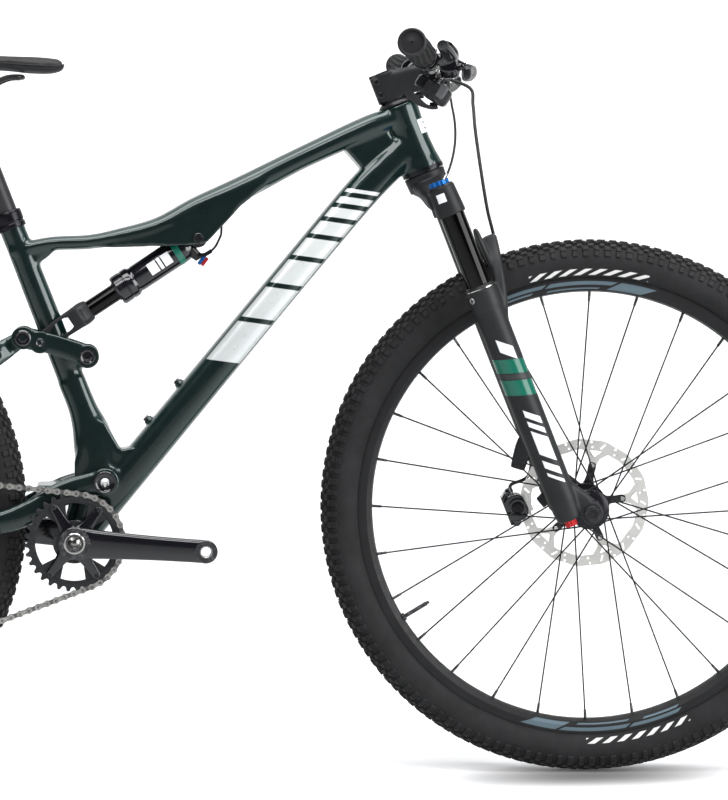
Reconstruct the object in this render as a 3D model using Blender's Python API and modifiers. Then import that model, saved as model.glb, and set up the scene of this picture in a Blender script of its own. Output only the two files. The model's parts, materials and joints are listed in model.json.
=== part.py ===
"""Full-suspension 29-inch mountain bike, without pedals, as separate pieces on their joints.

Frame: +X forward, +Y to the rider's left, +Z up, metres. The origin is on the ground midway between
the axles, in the frame's centre plane. The drive side is at -Y. The front end stands turned a few
degrees to the drive side, as a parked bike's does.
"""

import math

import bmesh
import bpy
from mathutils import Matrix, Vector

# ---------------------------------------------------------------- driving dimensions
WHEEL_RADIUS = 0.370
WHEELBASE = 1.139
BB = Vector((-0.1363, 0, 0.3337))
CRANK_LENGTH = 0.175
CRANK_DROP = math.radians(4)
RING_TEETH, COG_TEETH, PULLEY_TEETH, CHAIN_PITCH = 32, 39, 13, 0.0127
REAR_AXLE = Vector((-WHEELBASE / 2, 0, WHEEL_RADIUS))
FRONT_AXLE = Vector((WHEELBASE / 2, 0, WHEEL_RADIUS))
REAR_HUB_HALF, FRONT_HUB_HALF = 0.074, 0.055

HEAD_ANGLE = math.radians(68.5)
FORK_OFFSET, AXLE_TO_CROWN, STANCHION_AHEAD = 0.044, 0.512, 0.013
FORK_TRAVEL = 0.100
STANCHION_RADIUS, STANCHION_SPREAD = 0.017, 0.065
HEAD_TUBE_LENGTH = 0.0985
REST_STEER = math.radians(-5.9)
BAR_HALF_WIDTH, STEM_REACH, STEM_HEIGHT = 0.370, 0.0603, 0.1190

MAIN_PIVOT = Vector((-0.0951, 0, 0.4120))
ROCKER_PIVOT = Vector((-0.1176, 0, 0.5811))
STAY_PIVOT = Vector((-0.2035, 0, 0.6062))
YOKE_PIVOT = Vector((-0.1807, 0, 0.6003))
SHOCK_MOUNT = Vector((0.0319, 0, 0.7399))

SEAT_TUBE_TOP = Vector((-0.2220, 0, 0.765))
SEAT_TUBE_LEAN = 0.383
SEATPOST_RADIUS = 0.0154
GAP = 0.0003

UP = Vector((0, 0, 1))
LEFT = Vector((0, 1, 0))
STEER_UP = Vector((-math.cos(HEAD_ANGLE), 0, math.sin(HEAD_ANGLE)))
STEER_AHEAD = Vector((math.sin(HEAD_ANGLE), 0, math.cos(HEAD_ANGLE)))
CROWN = FRONT_AXLE - FORK_OFFSET * STEER_AHEAD + AXLE_TO_CROWN * STEER_UP
SEAT_UP = Vector((-SEAT_TUBE_LEAN, 0, 1)).normalized()
SHOCK_DOWN = (YOKE_PIVOT - SHOCK_MOUNT).normalized()
SHOCK_UP = LEFT.cross(SHOCK_DOWN).normalized()


def pitch_radius(teeth):
    return CHAIN_PITCH / (2 * math.sin(math.pi / teeth))


def fork(ahead, along, across=0.0):
    """A point of the front end: ahead of the steering axis, up it from the crown race, and to the left."""
    return CROWN + ahead * STEER_AHEAD + along * STEER_UP + across * LEFT


def shock(along, above=0.0, across=0.0):
    """A point of the shock: down it from its front bolt, above its axis, and to the left."""
    return SHOCK_MOUNT + along * SHOCK_DOWN + above * SHOCK_UP + across * LEFT


def seat(along, across=0.0):
    """A point of the seat tube's axis, up from its top end."""
    return SEAT_TUBE_TOP + along * SEAT_UP + across * LEFT


# ---------------------------------------------------------------- scene and materials
def clear_scene():
    for old in list(bpy.data.objects):
        bpy.data.objects.remove(old, do_unlink=True)


clear_scene()
bike = bpy.data.collections.new("mountain_bike")
bpy.context.scene.collection.children.link(bike)

FINISHES = {
    "paint": ((0.012, 0.060, 0.048), 0.22, 0.6),
    "black": ((0.012, 0.012, 0.014), 0.45, 0.0),
    "anodised": ((0.015, 0.015, 0.018), 0.35, 0.8),
    "rubber": ((0.020, 0.020, 0.022), 0.80, 0.0),
    "steel": ((0.55, 0.55, 0.54), 0.30, 1.0),
}


def make_materials():
    made = {}
    for name, (colour, roughness, metallic) in FINISHES.items():
        material = bpy.data.materials.new(name)
        material.use_nodes = True
        shader = material.node_tree.nodes["Principled BSDF"]
        shader.inputs["Base Color"].default_value = (*colour, 1)
        shader.inputs["Roughness"].default_value = roughness
        shader.inputs["Metallic"].default_value = metallic
        made[name] = material
    return made


MATERIALS = make_materials()


# ---------------------------------------------------------------- shape helpers
def from_bmesh(bm):
    """A loose object from a bmesh, welded and facing out."""
    bmesh.ops.remove_doubles(bm, verts=bm.verts, dist=1e-6)
    bmesh.ops.recalc_face_normals(bm, faces=bm.faces)
    mesh = bpy.data.meshes.new("shape")
    bm.to_mesh(mesh)
    bm.free()
    made = bpy.data.objects.new("shape", mesh)
    bike.objects.link(made)
    return made


def turned_to(direction, origin=Vector((0, 0, 0))):
    """The matrix that takes local +Z to direction and the local origin to origin."""
    return Matrix.Translation(origin) @ direction.to_track_quat("Z", "Y").to_matrix().to_4x4()


def evaluated_mesh(obj):
    graph = bpy.context.evaluated_depsgraph_get()
    return bpy.data.meshes.new_from_object(obj.evaluated_get(graph))


def bake(obj):
    """Replaces obj with the mesh that its modifiers or its curve make, in world space."""
    bpy.context.view_layer.update()
    mesh = evaluated_mesh(obj)
    mesh.transform(obj.matrix_world)
    bpy.data.objects.remove(obj, do_unlink=True)
    bm = bmesh.new()
    bm.from_mesh(mesh)
    bpy.data.meshes.remove(mesh)
    return from_bmesh(bm)


def cone(start, end, radius, end_radius=None, sides=12):
    axis = end - start
    bm = bmesh.new()
    bmesh.ops.create_cone(
        bm, cap_ends=True, segments=sides, depth=axis.length,
        radius1=radius, radius2=radius if end_radius is None else end_radius)
    bmesh.ops.transform(bm, matrix=turned_to(axis.normalized(), (start + end) / 2), verts=bm.verts)
    return from_bmesh(bm)


def box(low, high, turn=Matrix.Identity(4)):
    """A block between two corners of a frame given by turn."""
    low, high = Vector(low), Vector(high)
    bm = bmesh.new()
    bmesh.ops.create_cube(bm, size=1)
    size = Matrix.Diagonal((*(high - low), 1))
    bmesh.ops.transform(bm, matrix=turn @ Matrix.Translation((low + high) / 2) @ size, verts=bm.verts)
    return from_bmesh(bm)


def fork_turn(origin):
    """A frame at origin with X ahead of the steering axis, Y left and Z up the steering axis."""
    return Matrix.Translation(origin) @ Matrix((STEER_AHEAD, LEFT, STEER_UP)).transposed().to_4x4()


def turned(profile, origin, axis, steps=40, ring=False, phase=0.0):
    """A turned shape: profile points are (along the axis, radius). A ring's profile closes on itself."""
    mesh = bpy.data.meshes.new("profile")
    points = [Vector((radius, 0, along)) for along, radius in profile]
    edges = [(i, i + 1) for i in range(len(points) - 1)]
    if ring:
        edges.append((len(points) - 1, 0))
    mesh.from_pydata(points, edges, [])
    made = bpy.data.objects.new("profile", mesh)
    bike.objects.link(made)
    made.matrix_world = turned_to(axis, origin) @ Matrix.Rotation(phase, 4, "Z")
    screw = made.modifiers.new("turn", "SCREW")
    screw.steps = screw.render_steps = steps
    screw.use_merge_vertices = True
    screw.merge_threshold = 1e-6
    return bake(made)


def plate(outline, half_width, holes=(), centre_y=0.0):
    """A flat plate in the side view: outline and holes are lists of (x, z)."""
    curve = bpy.data.curves.new("outline", "CURVE")
    curve.dimensions = "2D"
    curve.fill_mode = "BOTH"
    curve.extrude = half_width
    for loop in (outline, *holes):
        spline = curve.splines.new("POLY")
        spline.points.add(len(loop) - 1)
        for point, (x, z) in zip(spline.points, loop):
            point.co = (x, z, 0, 1)
        spline.use_cyclic_u = True
    made = bpy.data.objects.new("outline", curve)
    bike.objects.link(made)
    made.matrix_world = Matrix.Translation((0, centre_y, 0)) @ Matrix.Rotation(math.pi / 2, 4, "X")
    return bake(made)


def arc(centre, radius, start, end, count=8):
    """Points of an arc in the side view, angles in degrees from +X towards +Z."""
    steps = [math.radians(start + (end - start) * i / (count - 1)) for i in range(count)]
    return [(centre[0] + radius * math.cos(a), centre[1] + radius * math.sin(a)) for a in steps]


def section(centre, wide, tall, half_wide, half_tall, power=2.6, count=10):
    """A rounded section round centre: half_wide along wide and half_tall along tall."""
    ring = []
    for i in range(count):
        a = 2 * math.pi * (i + 0.5) / count
        c, s = math.cos(a), math.sin(a)
        across = math.copysign(abs(c) ** (2 / power), c) * half_wide
        up = math.copysign(abs(s) ** (2 / power), s) * half_tall
        ring.append(centre + across * wide + up * tall)
    return ring


def loft(rings):
    """A closed solid through rings of equally many points."""
    bm = bmesh.new()
    rows = [[bm.verts.new(p) for p in ring] for ring in rings]
    for row, following in zip(rows, rows[1:]):
        for i in range(len(row)):
            j = (i + 1) % len(row)
            bm.faces.new((row[i], row[j], following[j], following[i]))
    bm.faces.new(rows[0][::-1])
    bm.faces.new(rows[-1])
    return from_bmesh(bm)


def beam(stations, tall=None, power=2.6, count=10, wide=LEFT):
    """A loft along stations of (centre, half width, half height), square to its own path."""
    centres = [Vector(s[0]) for s in stations]
    rings = []
    for i, (_, half_wide, half_tall) in enumerate(stations):
        before, after = centres[max(i - 1, 0)], centres[min(i + 1, len(centres) - 1)]
        along = (after - before).normalized()
        up = tall or along.cross(wide).normalized()
        rings.append(section(centres[i], wide, up, half_wide, half_tall, power, count))
    return loft(rings)


def swept(path, radius, count=12):
    """A round bar along a path; radius is one number or one for each point."""
    radii = radius if isinstance(radius, (list, tuple)) else [radius] * len(path)
    rings = []
    for i, centre in enumerate(path):
        along = (path[min(i + 1, len(path) - 1)] - path[max(i - 1, 0)]).normalized()
        wide = along.cross(UP if abs(along.z) < 0.9 else LEFT).normalized()
        rings.append(section(centre, wide, wide.cross(along), radii[i], radii[i], 2, count))
    return loft(rings)


def fuse(parts, cutters=()):
    """Joins parts into one body, then cuts the cutters from it."""
    base = parts[0]
    for other, operation in [(p, "UNION") for p in parts[1:]] + [(c, "DIFFERENCE") for c in cutters]:
        step = base.modifiers.new(operation, "BOOLEAN")
        step.operation = operation
        step.object = other
        base = bake(base)
    for used in (*parts[1:], *cutters):
        bpy.data.objects.remove(used, do_unlink=True)
    return base


# ---------------------------------------------------------------- assembly
EMPTIES = {}


def place_empty(name, origin, parent=None):
    """An empty on a joint's axis. Its pieces are built where they belong and hang on it in place."""
    made = bpy.data.objects.new(name, None)
    made.empty_display_size = 0.03
    bike.objects.link(made)
    EMPTIES[name] = (made, Vector(origin))
    made.location = origin
    if parent:
        made.parent = EMPTIES[parent][0]
        made.location = Vector(origin) - EMPTIES[parent][1]
    return made


def merge_flat_faces(obj):
    """Joins the slices that Booleans leave in one flat face."""
    bm = bmesh.new()
    bm.from_mesh(obj.data)
    bmesh.ops.dissolve_limit(bm, angle_limit=math.radians(0.6), verts=bm.verts, edges=bm.edges)
    bm.to_mesh(obj.data)
    bm.free()


def finish(name, obj, finish_name, body):
    """Names a baked shape, gives it its material and hangs it on its body's empty."""
    obj.name = obj.data.name = name
    obj.data.materials.clear()
    obj.data.materials.append(MATERIALS[finish_name])
    obj.data.shade_smooth()
    obj.data.set_sharp_from_angle(angle=math.radians(35))
    empty, origin = EMPTIES[body]
    merge_flat_faces(obj)
    obj.data.transform(Matrix.Translation(-origin))
    obj.parent = empty
    return obj


def band(path, half_wide, half_thick):
    """A strip with a rectangular section along a path that runs in the side view and may drift in Y."""
    rings = []
    for i, centre in enumerate(path):
        along = (path[min(i + 1, len(path) - 1)] - path[max(i - 1, 0)]).normalized()
        across = along.cross(LEFT).normalized()
        rings.append([centre + s * half_wide * LEFT + t * half_thick * across
                      for s, t in ((-1, -1), (1, -1), (1, 1), (-1, 1))])
    return loft(rings)


def tube_between(start, end, outer, inner, steps=18):
    """A straight sleeve."""
    length = (end - start).length
    profile = [(0, inner), (length, inner), (length, outer), (0, outer)]
    return turned(profile, start, (end - start).normalized(), steps, ring=True)


def across(point, from_y, to_y, radius, end_radius=None, sides=12):
    """A cylinder along Y through a point of the side view."""
    start, end = Vector((point.x, from_y, point.z)), Vector((point.x, to_y, point.z))
    return cone(start, end, radius, end_radius, sides)


def at(x, z, y=0.0):
    return Vector((x, y, z))


# ---------------------------------------------------------------- main frame
def tapered_tube(stations, power=2.6):
    return beam([(at(x, z), half_wide, half_tall) for x, z, half_wide, half_tall in stations], power=power)


def frame_tubes():
    top_tube = tapered_tube([
        (-0.222, 0.7200, 0.0165, 0.009), (-0.170, 0.7320, 0.018, 0.0095), (-0.115, 0.7350, 0.020, 0.0098),
        (-0.075, 0.7420, 0.023, 0.0110), (-0.020, 0.7560, 0.027, 0.0130), (0.030, 0.7830, 0.028, 0.0130),
        (0.090, 0.8070, 0.028, 0.0165), (0.175, 0.8500, 0.027, 0.0150), (0.270, 0.8930, 0.026, 0.0165),
        (0.312, 0.9060, 0.022, 0.0140)])
    down_tube = tapered_tube([
        (-0.128, 0.3420, 0.0270, 0.0240), (-0.060, 0.4240, 0.0282, 0.0235), (0.060, 0.5690, 0.0300, 0.0230),
        (0.180, 0.7135, 0.029, 0.0230), (0.262, 0.8100, 0.027, 0.0235), (0.318, 0.8640, 0.023, 0.0230)],
        power=3)
    seat_tube = cone(seat(-0.24), seat(0), 0.0180, 0.0172, sides=20)
    lower = tapered_tube([(-0.1400, 0.5500, 0.0182, 0.0185), (-0.1240, 0.5090, 0.022, 0.0195),
                          (-0.1107, 0.4680, 0.0260, 0.0270), (-0.1060, 0.4150, 0.0275, 0.0300),
                          (-0.1300, 0.3450, 0.0280, 0.0230)])
    head_tube = cone(fork(0, 0.0), fork(0, HEAD_TUBE_LENGTH), 0.0290, 0.0268, sides=22)
    return [seat_tube, lower, down_tube, top_tube, head_tube]


BOTTLE_BOLTS = (0.0693, 0.1341)


def down_tube_top(along, above):
    """A point above the down tube's axis, as far along it from beside the main pivot."""
    return at(-0.0604 + along * 0.6388 - above * 0.7693, 0.4240 + along * 0.7693 + above * 0.6388)


def shock_cheek(side):
    outline = [(-0.0605, 0.7276), (0.0399, 0.7318), (0.0633, 0.7620), (0.0771, 0.7730), (0.0564, 0.7909),
               (0.0250, 0.7780), (-0.0192, 0.7565), (-0.0605, 0.7420)]
    return plate(outline, 0.0028, centre_y=side * 0.0252)


def build_main_frame():
    web = plate([(-0.136, 0.340), (-0.136, 0.440), (-0.118, 0.500), (-0.094, 0.492), (-0.0735, 0.455),
                 (-0.040, 0.462), (-0.040, 0.430), (-0.110, 0.340)], 0.0240)
    head_gusset = plate([(0.235, 0.870), (0.290, 0.885), (0.315, 0.850), (0.270, 0.835)], 0.0200)
    rocker_lug = beam([(at(-0.150, 0.578), 0.0170, 0.020), (ROCKER_PIVOT, 0.0262, 0.0135)], power=3)
    parts = frame_tubes() + [across(BB, -0.046, 0.046, 0.0245, sides=22), web, head_gusset, rocker_lug,
                             across(ROCKER_PIVOT, -0.0265, 0.0265, 0.0138),
                             across(MAIN_PIVOT, -0.0285, 0.0285, 0.0222, sides=24), shock_cheek(-1),
                             shock_cheek(1), box((-0.154, -0.016, 0.3035), (-0.118, 0.016, 0.325)),]
    for along in BOTTLE_BOLTS:
        parts.append(cone(down_tube_top(along, 0.0150), down_tube_top(along, 0.0285), 0.0065, sides=12))
    cutters = [
        across(BB, -0.06, 0.06, 0.0150, sides=24), across(MAIN_PIVOT, -0.05, 0.05, 0.0078),
        across(ROCKER_PIVOT, -0.05, 0.05, 0.0063), across(SHOCK_MOUNT, -0.05, 0.05, 0.0042, sides=14),
        cone(seat(-0.215), seat(0.01), 0.0157, sides=24),
        cone(fork(0, -0.02), fork(0, HEAD_TUBE_LENGTH + 0.02), 0.0200, sides=24),
    ]
    return fuse(parts, cutters)


def bottle_bolt(along):
    return cone(down_tube_top(along, 0.0288), down_tube_top(along, 0.0320), 0.0042, sides=10)


def build_frame_body():
    place_empty("bike", (0, 0, 0))
    finish("main_frame", build_main_frame(), "paint", "bike")
    clamp = tube_between(seat(-0.0140), seat(0.0120), 0.0212, 0.0176, 28)
    lug = box((-0.031, -0.0065, -0.009), (-0.0188, 0.0065, 0.007),
              Matrix.Translation(SEAT_TUBE_TOP) @ Matrix((SEAT_UP.cross(LEFT) * -1, LEFT,
                                                          SEAT_UP)).transposed().to_4x4())
    finish("seatpost_clamp", fuse([clamp, lug]), "anodised", "bike")
    finish("headset_upper_cover", turned([(0.0988, 0.0147), (0.1055, 0.0147), (0.1055, 0.0215),
                                          (0.1030, 0.0262), (0.0988, 0.0268)], CROWN, STEER_UP, 24,
                                         ring=True), "black", "bike")
    for side, word in ((-1, "right"), (1, "left")):
        cup = turned([(0.0200, 0.0130), (0.0497, 0.0130), (0.0497, 0.0225), (0.0463, 0.0225),
                      (0.0463, 0.0147), (0.0200, 0.0147)], BB, side * LEFT, 24, ring=True)
        finish("bb_cup_" + word, cup, "anodised", "bike")
    finish("bottle_bolt_upper", bottle_bolt(BOTTLE_BOLTS[1]), "steel", "bike")
    finish("bottle_bolt_lower", bottle_bolt(BOTTLE_BOLTS[0]), "steel", "bike")
    finish("main_pivot_axle", fuse([across(MAIN_PIVOT, -0.0410, 0.0410, 0.0074),
                                    across(MAIN_PIVOT, -0.0443, -0.0407, 0.0110)]), "anodised", "bike")
    finish("rocker_axle", fuse([across(ROCKER_PIVOT, -0.0363, 0.0363, 0.0060),
                                across(ROCKER_PIVOT, -0.0383, -0.0361, 0.0085),
                                across(ROCKER_PIVOT, 0.0361, 0.0383, 0.0085)]), "anodised", "bike")
    finish("shock_front_bolt", fuse([across(SHOCK_MOUNT, -0.0285, 0.0285, 0.0039, sides=14),
                                     across(SHOCK_MOUNT, -0.0313, -0.0283, 0.0070, sides=14)]), "steel",
           "bike")


# ---------------------------------------------------------------- seatpost and saddle
RAIL_HEIGHT, RAIL_RADIUS = 0.9290, 0.0035
CLAMP_X = -0.2870


def build_saddle_body():
    place_empty("seatpost_slide", SEAT_TUBE_TOP, "bike")
    bolts = [at(CLAMP_X - 0.015, 0), at(CLAMP_X + 0.015, 0)]
    cradle = box((CLAMP_X - 0.022, -0.0270, 0.9145), (CLAMP_X + 0.022, 0.0270, 0.9252))
    neck = cone(seat(0.110), at(CLAMP_X, 0.9190), 0.0150, 0.0140, sides=18)
    post = cone(seat(-0.120), seat(0.122), SEATPOST_RADIUS, sides=24)
    holes = [cone(b + UP * 0.905, b + UP * 0.935, 0.0030, sides=12) for b in bolts]
    finish("seatpost", fuse([post, neck, cradle], holes), "black", "seatpost_slide")
    cap = box((CLAMP_X - 0.021, -0.0270, 0.9328), (CLAMP_X + 0.021, 0.0270, 0.9392))
    rods = [cone(b + UP * 0.916, b + UP * 0.936, 0.0025, sides=12) for b in bolts]
    finish("saddle_clamp", fuse([cap] + rods), "black", "seatpost_slide")
    rails = []
    for side in (-1, 1):
        points = [(-0.2060, 0.010, 0.9555), (-0.2200, 0.0140, 0.9545), (-0.2350, 0.0180, 0.9485),
                  (-0.2500, 0.0210, 0.9370), (-0.2640, 0.0220, 0.9290), (-0.3400, 0.0220, 0.9290),
                  (-0.3680, 0.0270, 0.9390), (-0.3900, 0.0320, 0.9510)]
        rails.append(swept([Vector((x, side * y, z)) for x, y, z in points], RAIL_RADIUS, 8))
    ties = [cone(Vector((-0.2070, -0.0130, 0.9555)), Vector((-0.2070, 0.0130, 0.9555)), RAIL_RADIUS,
                 sides=8), cone(Vector((-0.3890, -0.0360, 0.9506)), Vector((-0.3890, 0.0360, 0.9506)),
                                RAIL_RADIUS, sides=8)]
    finish("saddle_rails", fuse(rails + ties), "steel", "seatpost_slide")
    stations = ((-0.4250, 0.9800, 0.0450, 0.0080), (-0.4180, 0.9780, 0.0600, 0.0140),
                (-0.4000, 0.9765, 0.0690, 0.0165), (-0.3720, 0.9755, 0.0725, 0.0160),
                (-0.3350, 0.9750, 0.0660, 0.0145), (-0.2950, 0.9752, 0.0500, 0.0125),
                (-0.2550, 0.9753, 0.0340, 0.0112), (-0.2250, 0.9748, 0.0270, 0.0108),
                (-0.1940, 0.9728, 0.0235, 0.0120), (-0.1670, 0.9718, 0.0200, 0.0115),
                (-0.1520, 0.9722, 0.0150, 0.0085), (-0.1466, 0.9730, 0.0085, 0.0040))
    saddle = beam([(at(x, z), wide, tall) for x, z, wide, tall in stations], tall=UP, power=2.4, count=20)
    finish("saddle", saddle, "rubber", "seatpost_slide")


# ---------------------------------------------------------------- fork and cockpit
BAR_CENTRE = fork(STEM_REACH, STEM_HEIGHT)
BAR_END = Vector((0.3138, BAR_HALF_WIDTH, 0.9890))


def bar_path(side):
    points = [BAR_CENTRE, BAR_CENTRE + Vector((0.0, 0.040, 0)),
              BAR_CENTRE + Vector((-0.0005, 0.085, 0.0025)),
              Vector((BAR_CENTRE.x - 0.0070, 0.150, BAR_CENTRE.z + 0.0070)), BAR_END]
    return [Vector((p.x, side * p.y, p.z)) for p in points]


def bar_point(y, ahead=0.0, above=0.0):
    """A point beside the outer bar at a distance y from the centre, ahead of it and above it."""
    inner, outer = bar_path(1)[-2:]
    point = inner.lerp(outer, (abs(y) - inner.y) / (outer.y - inner.y))
    return Vector((point.x + ahead, math.copysign(point.y, y), point.z + above))


def bar_direction(side):
    inner, outer = bar_path(side)[-2:]
    return (outer - inner).normalized()


def bar_ring(side, y, width, outer, inner=0.0115):
    middle, along = bar_point(side * y), bar_direction(side)
    return tube_between(middle - along * width / 2, middle + along * width / 2, outer, inner, 20)


def build_steering_body():
    empty = place_empty("steering", CROWN, "bike")
    empty.rotation_mode = "QUATERNION"
    empty.rotation_quaternion = Matrix.Rotation(REST_STEER, 3, STEER_UP).to_quaternion()
    sockets = [cone(fork(STANCHION_AHEAD - 0.001, -0.0250, s * STANCHION_SPREAD),
                    fork(STANCHION_AHEAD, -0.0680, s * STANCHION_SPREAD), 0.0185, 0.0203, sides=20)
               for s in (-1, 1)]
    bridge = beam([(fork(0.009, -0.042, -0.066), 0.0200, 0.0140),
                   (fork(0.004, -0.026, -0.036), 0.0215, 0.0120), (fork(0.000, -0.0160, 0), 0.0250, 0.0140),
                   (fork(0.004, -0.026, 0.036), 0.0215, 0.0120),
                   (fork(0.009, -0.042, 0.066), 0.0200, 0.0140)], tall=STEER_UP, power=3, wide=STEER_AHEAD)
    steerer = cone(fork(0, -0.010), fork(0, 0.1460), 0.0142, sides=20)
    race = cone(fork(0, -0.0120), fork(0, -0.0012), 0.0270, 0.0270, sides=24)
    holes = [cone(fork(STANCHION_AHEAD, -0.0500, s * STANCHION_SPREAD),
                  fork(STANCHION_AHEAD, -0.0900, s * STANCHION_SPREAD), STANCHION_RADIUS + 0.0003, sides=20)
             for s in (-1, 1)]
    finish("fork_crown", fuse([bridge] + sockets + [race, steerer], holes), "black", "steering")
    for side, word in ((-1, "right"), (1, "left")):
        leg = cone(fork(STANCHION_AHEAD, -0.0510, side * STANCHION_SPREAD),
                   fork(STANCHION_AHEAD, -0.3000, side * STANCHION_SPREAD), STANCHION_RADIUS, sides=20)
        finish("stanchion_" + word, leg, "anodised", "steering")
    build_stem()
    bar = loft_bar()
    finish("handlebar", bar, "black", "steering")
    for side, word in ((-1, "right"), (1, "left")):
        inner, outer = bar_point(side * 0.2410), bar_point(side * 0.3705)
        length = (outer - inner).length
        grip = turned([(0, 0.0114), (length, 0.0114), (length, 0.0155), (length - 0.004, 0.0165),
                       (0.005, 0.0165), (0, 0.0155)], inner, bar_direction(side), 20, ring=True)
        finish("grip_" + word, grip, "rubber", "steering")
        build_brake_lever(side, word)
    build_shifter()
    build_remote()


def loft_bar():
    left = bar_path(1)
    right = bar_path(-1)[::-1][:-1]
    radii = [0.0158, 0.0158, 0.0150, 0.0111, 0.0111]
    return swept(right + left, radii[:0:-1] + radii, 16)


def build_stem():
    low, high = fork(0, 0.1060), fork(0, 0.1490)
    axis_end = BAR_CENTRE - (BAR_CENTRE - fork(0, 0.1275)).normalized() * 0.0190
    neck = beam([(fork(0.006, 0.1275), 0.0165, 0.0175), (fork(0.020, 0.1262), 0.0160, 0.0165),
                 (axis_end, 0.0230, 0.0185)], power=3.2)
    clamp = cone(low, high, 0.0205, sides=24)
    cap = cone(high - STEER_UP * 0.001, fork(0, 0.1525), 0.0165, 0.0150, sides=20)
    jaw = across(BAR_CENTRE, -0.0240, 0.0240, 0.0215, sides=24)
    cut_face = box((0.0006, -0.05, -0.05), (0.05, 0.05, 0.05), fork_turn(BAR_CENTRE))
    bore = across(BAR_CENTRE, -0.05, 0.05, 0.0162, sides=24)
    well = cone(fork(0, 0.09), fork(0, 0.1468), 0.0145, sides=20)
    finish("stem", fuse([clamp, neck, jaw, cap], [cut_face, bore, well]), "black", "steering")
    face = across(BAR_CENTRE, -0.0240, 0.0240, 0.0210, sides=24)
    tabs = [box((0.0014, -0.024, s * 0.0205 - 0.0045), (0.0110, 0.024, s * 0.0205 + 0.0045),
                fork_turn(BAR_CENTRE)) for s in (-1, 1)]
    back = box((-0.06, -0.05, -0.05), (0.0012, 0.05, 0.05), fork_turn(BAR_CENTRE))
    bore = across(BAR_CENTRE, -0.05, 0.05, 0.0162, sides=24)
    finish("stem_faceplate", fuse([face] + tabs, [back, bore]), "black", "steering")


def build_brake_lever(side, word):
    ring = bar_ring(side, 0.2050, 0.0120, 0.0155)
    cylinder = swept([bar_point(side * 0.1650, 0.0260, -0.0040), bar_point(side * 0.1900, 0.0330, -0.0020),
                      bar_point(side * 0.2360, 0.0360, 0.0060)], [0.0070, 0.0095, 0.0100], 10)
    neck = swept([bar_point(side * 0.2050, 0.0150, 0.0), bar_point(side * 0.2050, 0.0330, 0.0)], 0.0062, 8)
    finish("brake_lever_body_" + word, fuse([ring, cylinder, neck]), "black", "steering")
    place_empty("brake_lever_joint_" + word, bar_point(side * 0.1880, 0.0480, -0.0080), "steering")
    blade = swept([bar_point(side * 0.1880, 0.0480, -0.0080), bar_point(side * 0.2050, 0.0600, -0.0140),
                   bar_point(side * 0.2500, 0.0580, -0.0250), bar_point(side * 0.3000, 0.0550, -0.0300),
                   bar_point(side * 0.3300, 0.0620, -0.0320)], [0.0050, 0.0055, 0.0050, 0.0050, 0.0042], 8)
    finish("brake_lever_" + word, blade, "black", "brake_lever_joint_" + word)


def build_shifter():
    ring = bar_ring(-1, 0.1720, 0.0080, 0.0155)
    neck = swept([bar_point(-0.1720, 0.004, -0.015), bar_point(-0.1720, 0.008, -0.034)], 0.0055, 8)
    body = beam([(bar_point(-0.1500, 0.008, -0.0360), 0.0130, 0.0090),
                 (bar_point(-0.1600, 0.010, -0.0420), 0.0190, 0.0130),
                 (bar_point(-0.1800, 0.010, -0.0420), 0.0190, 0.0130),
                 (bar_point(-0.1900, 0.008, -0.0370), 0.0110, 0.0080)], tall=UP, wide=Vector((1, 0, 0)),
                count=12)
    finish("shifter_body", fuse([ring, neck, body]), "black", "steering")
    place_empty("shift_lever_joint", bar_point(-0.1700, 0.0040, -0.0580), "steering")
    paddle = beam([(bar_point(-0.1660, 0.0040, -0.0580), 0.0060, 0.0020),
                   (bar_point(-0.1850, -0.0080, -0.0590), 0.0060, 0.0018),
                   (bar_point(-0.2080, -0.0160, -0.0600), 0.0070, 0.0018)], tall=UP, wide=Vector((1, 0, 0)),
                  count=10)
    finish("shift_lever", paddle, "black", "shift_lever_joint")


def build_remote():
    ring = bar_ring(1, 0.1720, 0.0100, 0.0155)
    body = beam([(bar_point(0.1560, 0.0020, -0.0230), 0.0090, 0.0060),
                 (bar_point(0.1720, 0.0020, -0.0230), 0.0105, 0.0080),
                 (bar_point(0.1880, 0.0020, -0.0230), 0.0080, 0.0055)], tall=UP, wide=Vector((1, 0, 0)),
                count=10)
    finish("remote_body", fuse([ring, body]), "black", "steering")
    place_empty("remote_lever_joint", bar_point(0.1720, -0.0020, -0.0330), "steering")
    lever = beam([(bar_point(0.1680, -0.0020, -0.0345), 0.0055, 0.0020),
                  (bar_point(0.1900, -0.0120, -0.0350), 0.0050, 0.0018),
                  (bar_point(0.2100, -0.0200, -0.0350), 0.0060, 0.0018)], tall=UP, wide=Vector((1, 0, 0)),
                 count=10)
    finish("remote_lever", lever, "black", "remote_lever_joint")


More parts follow.
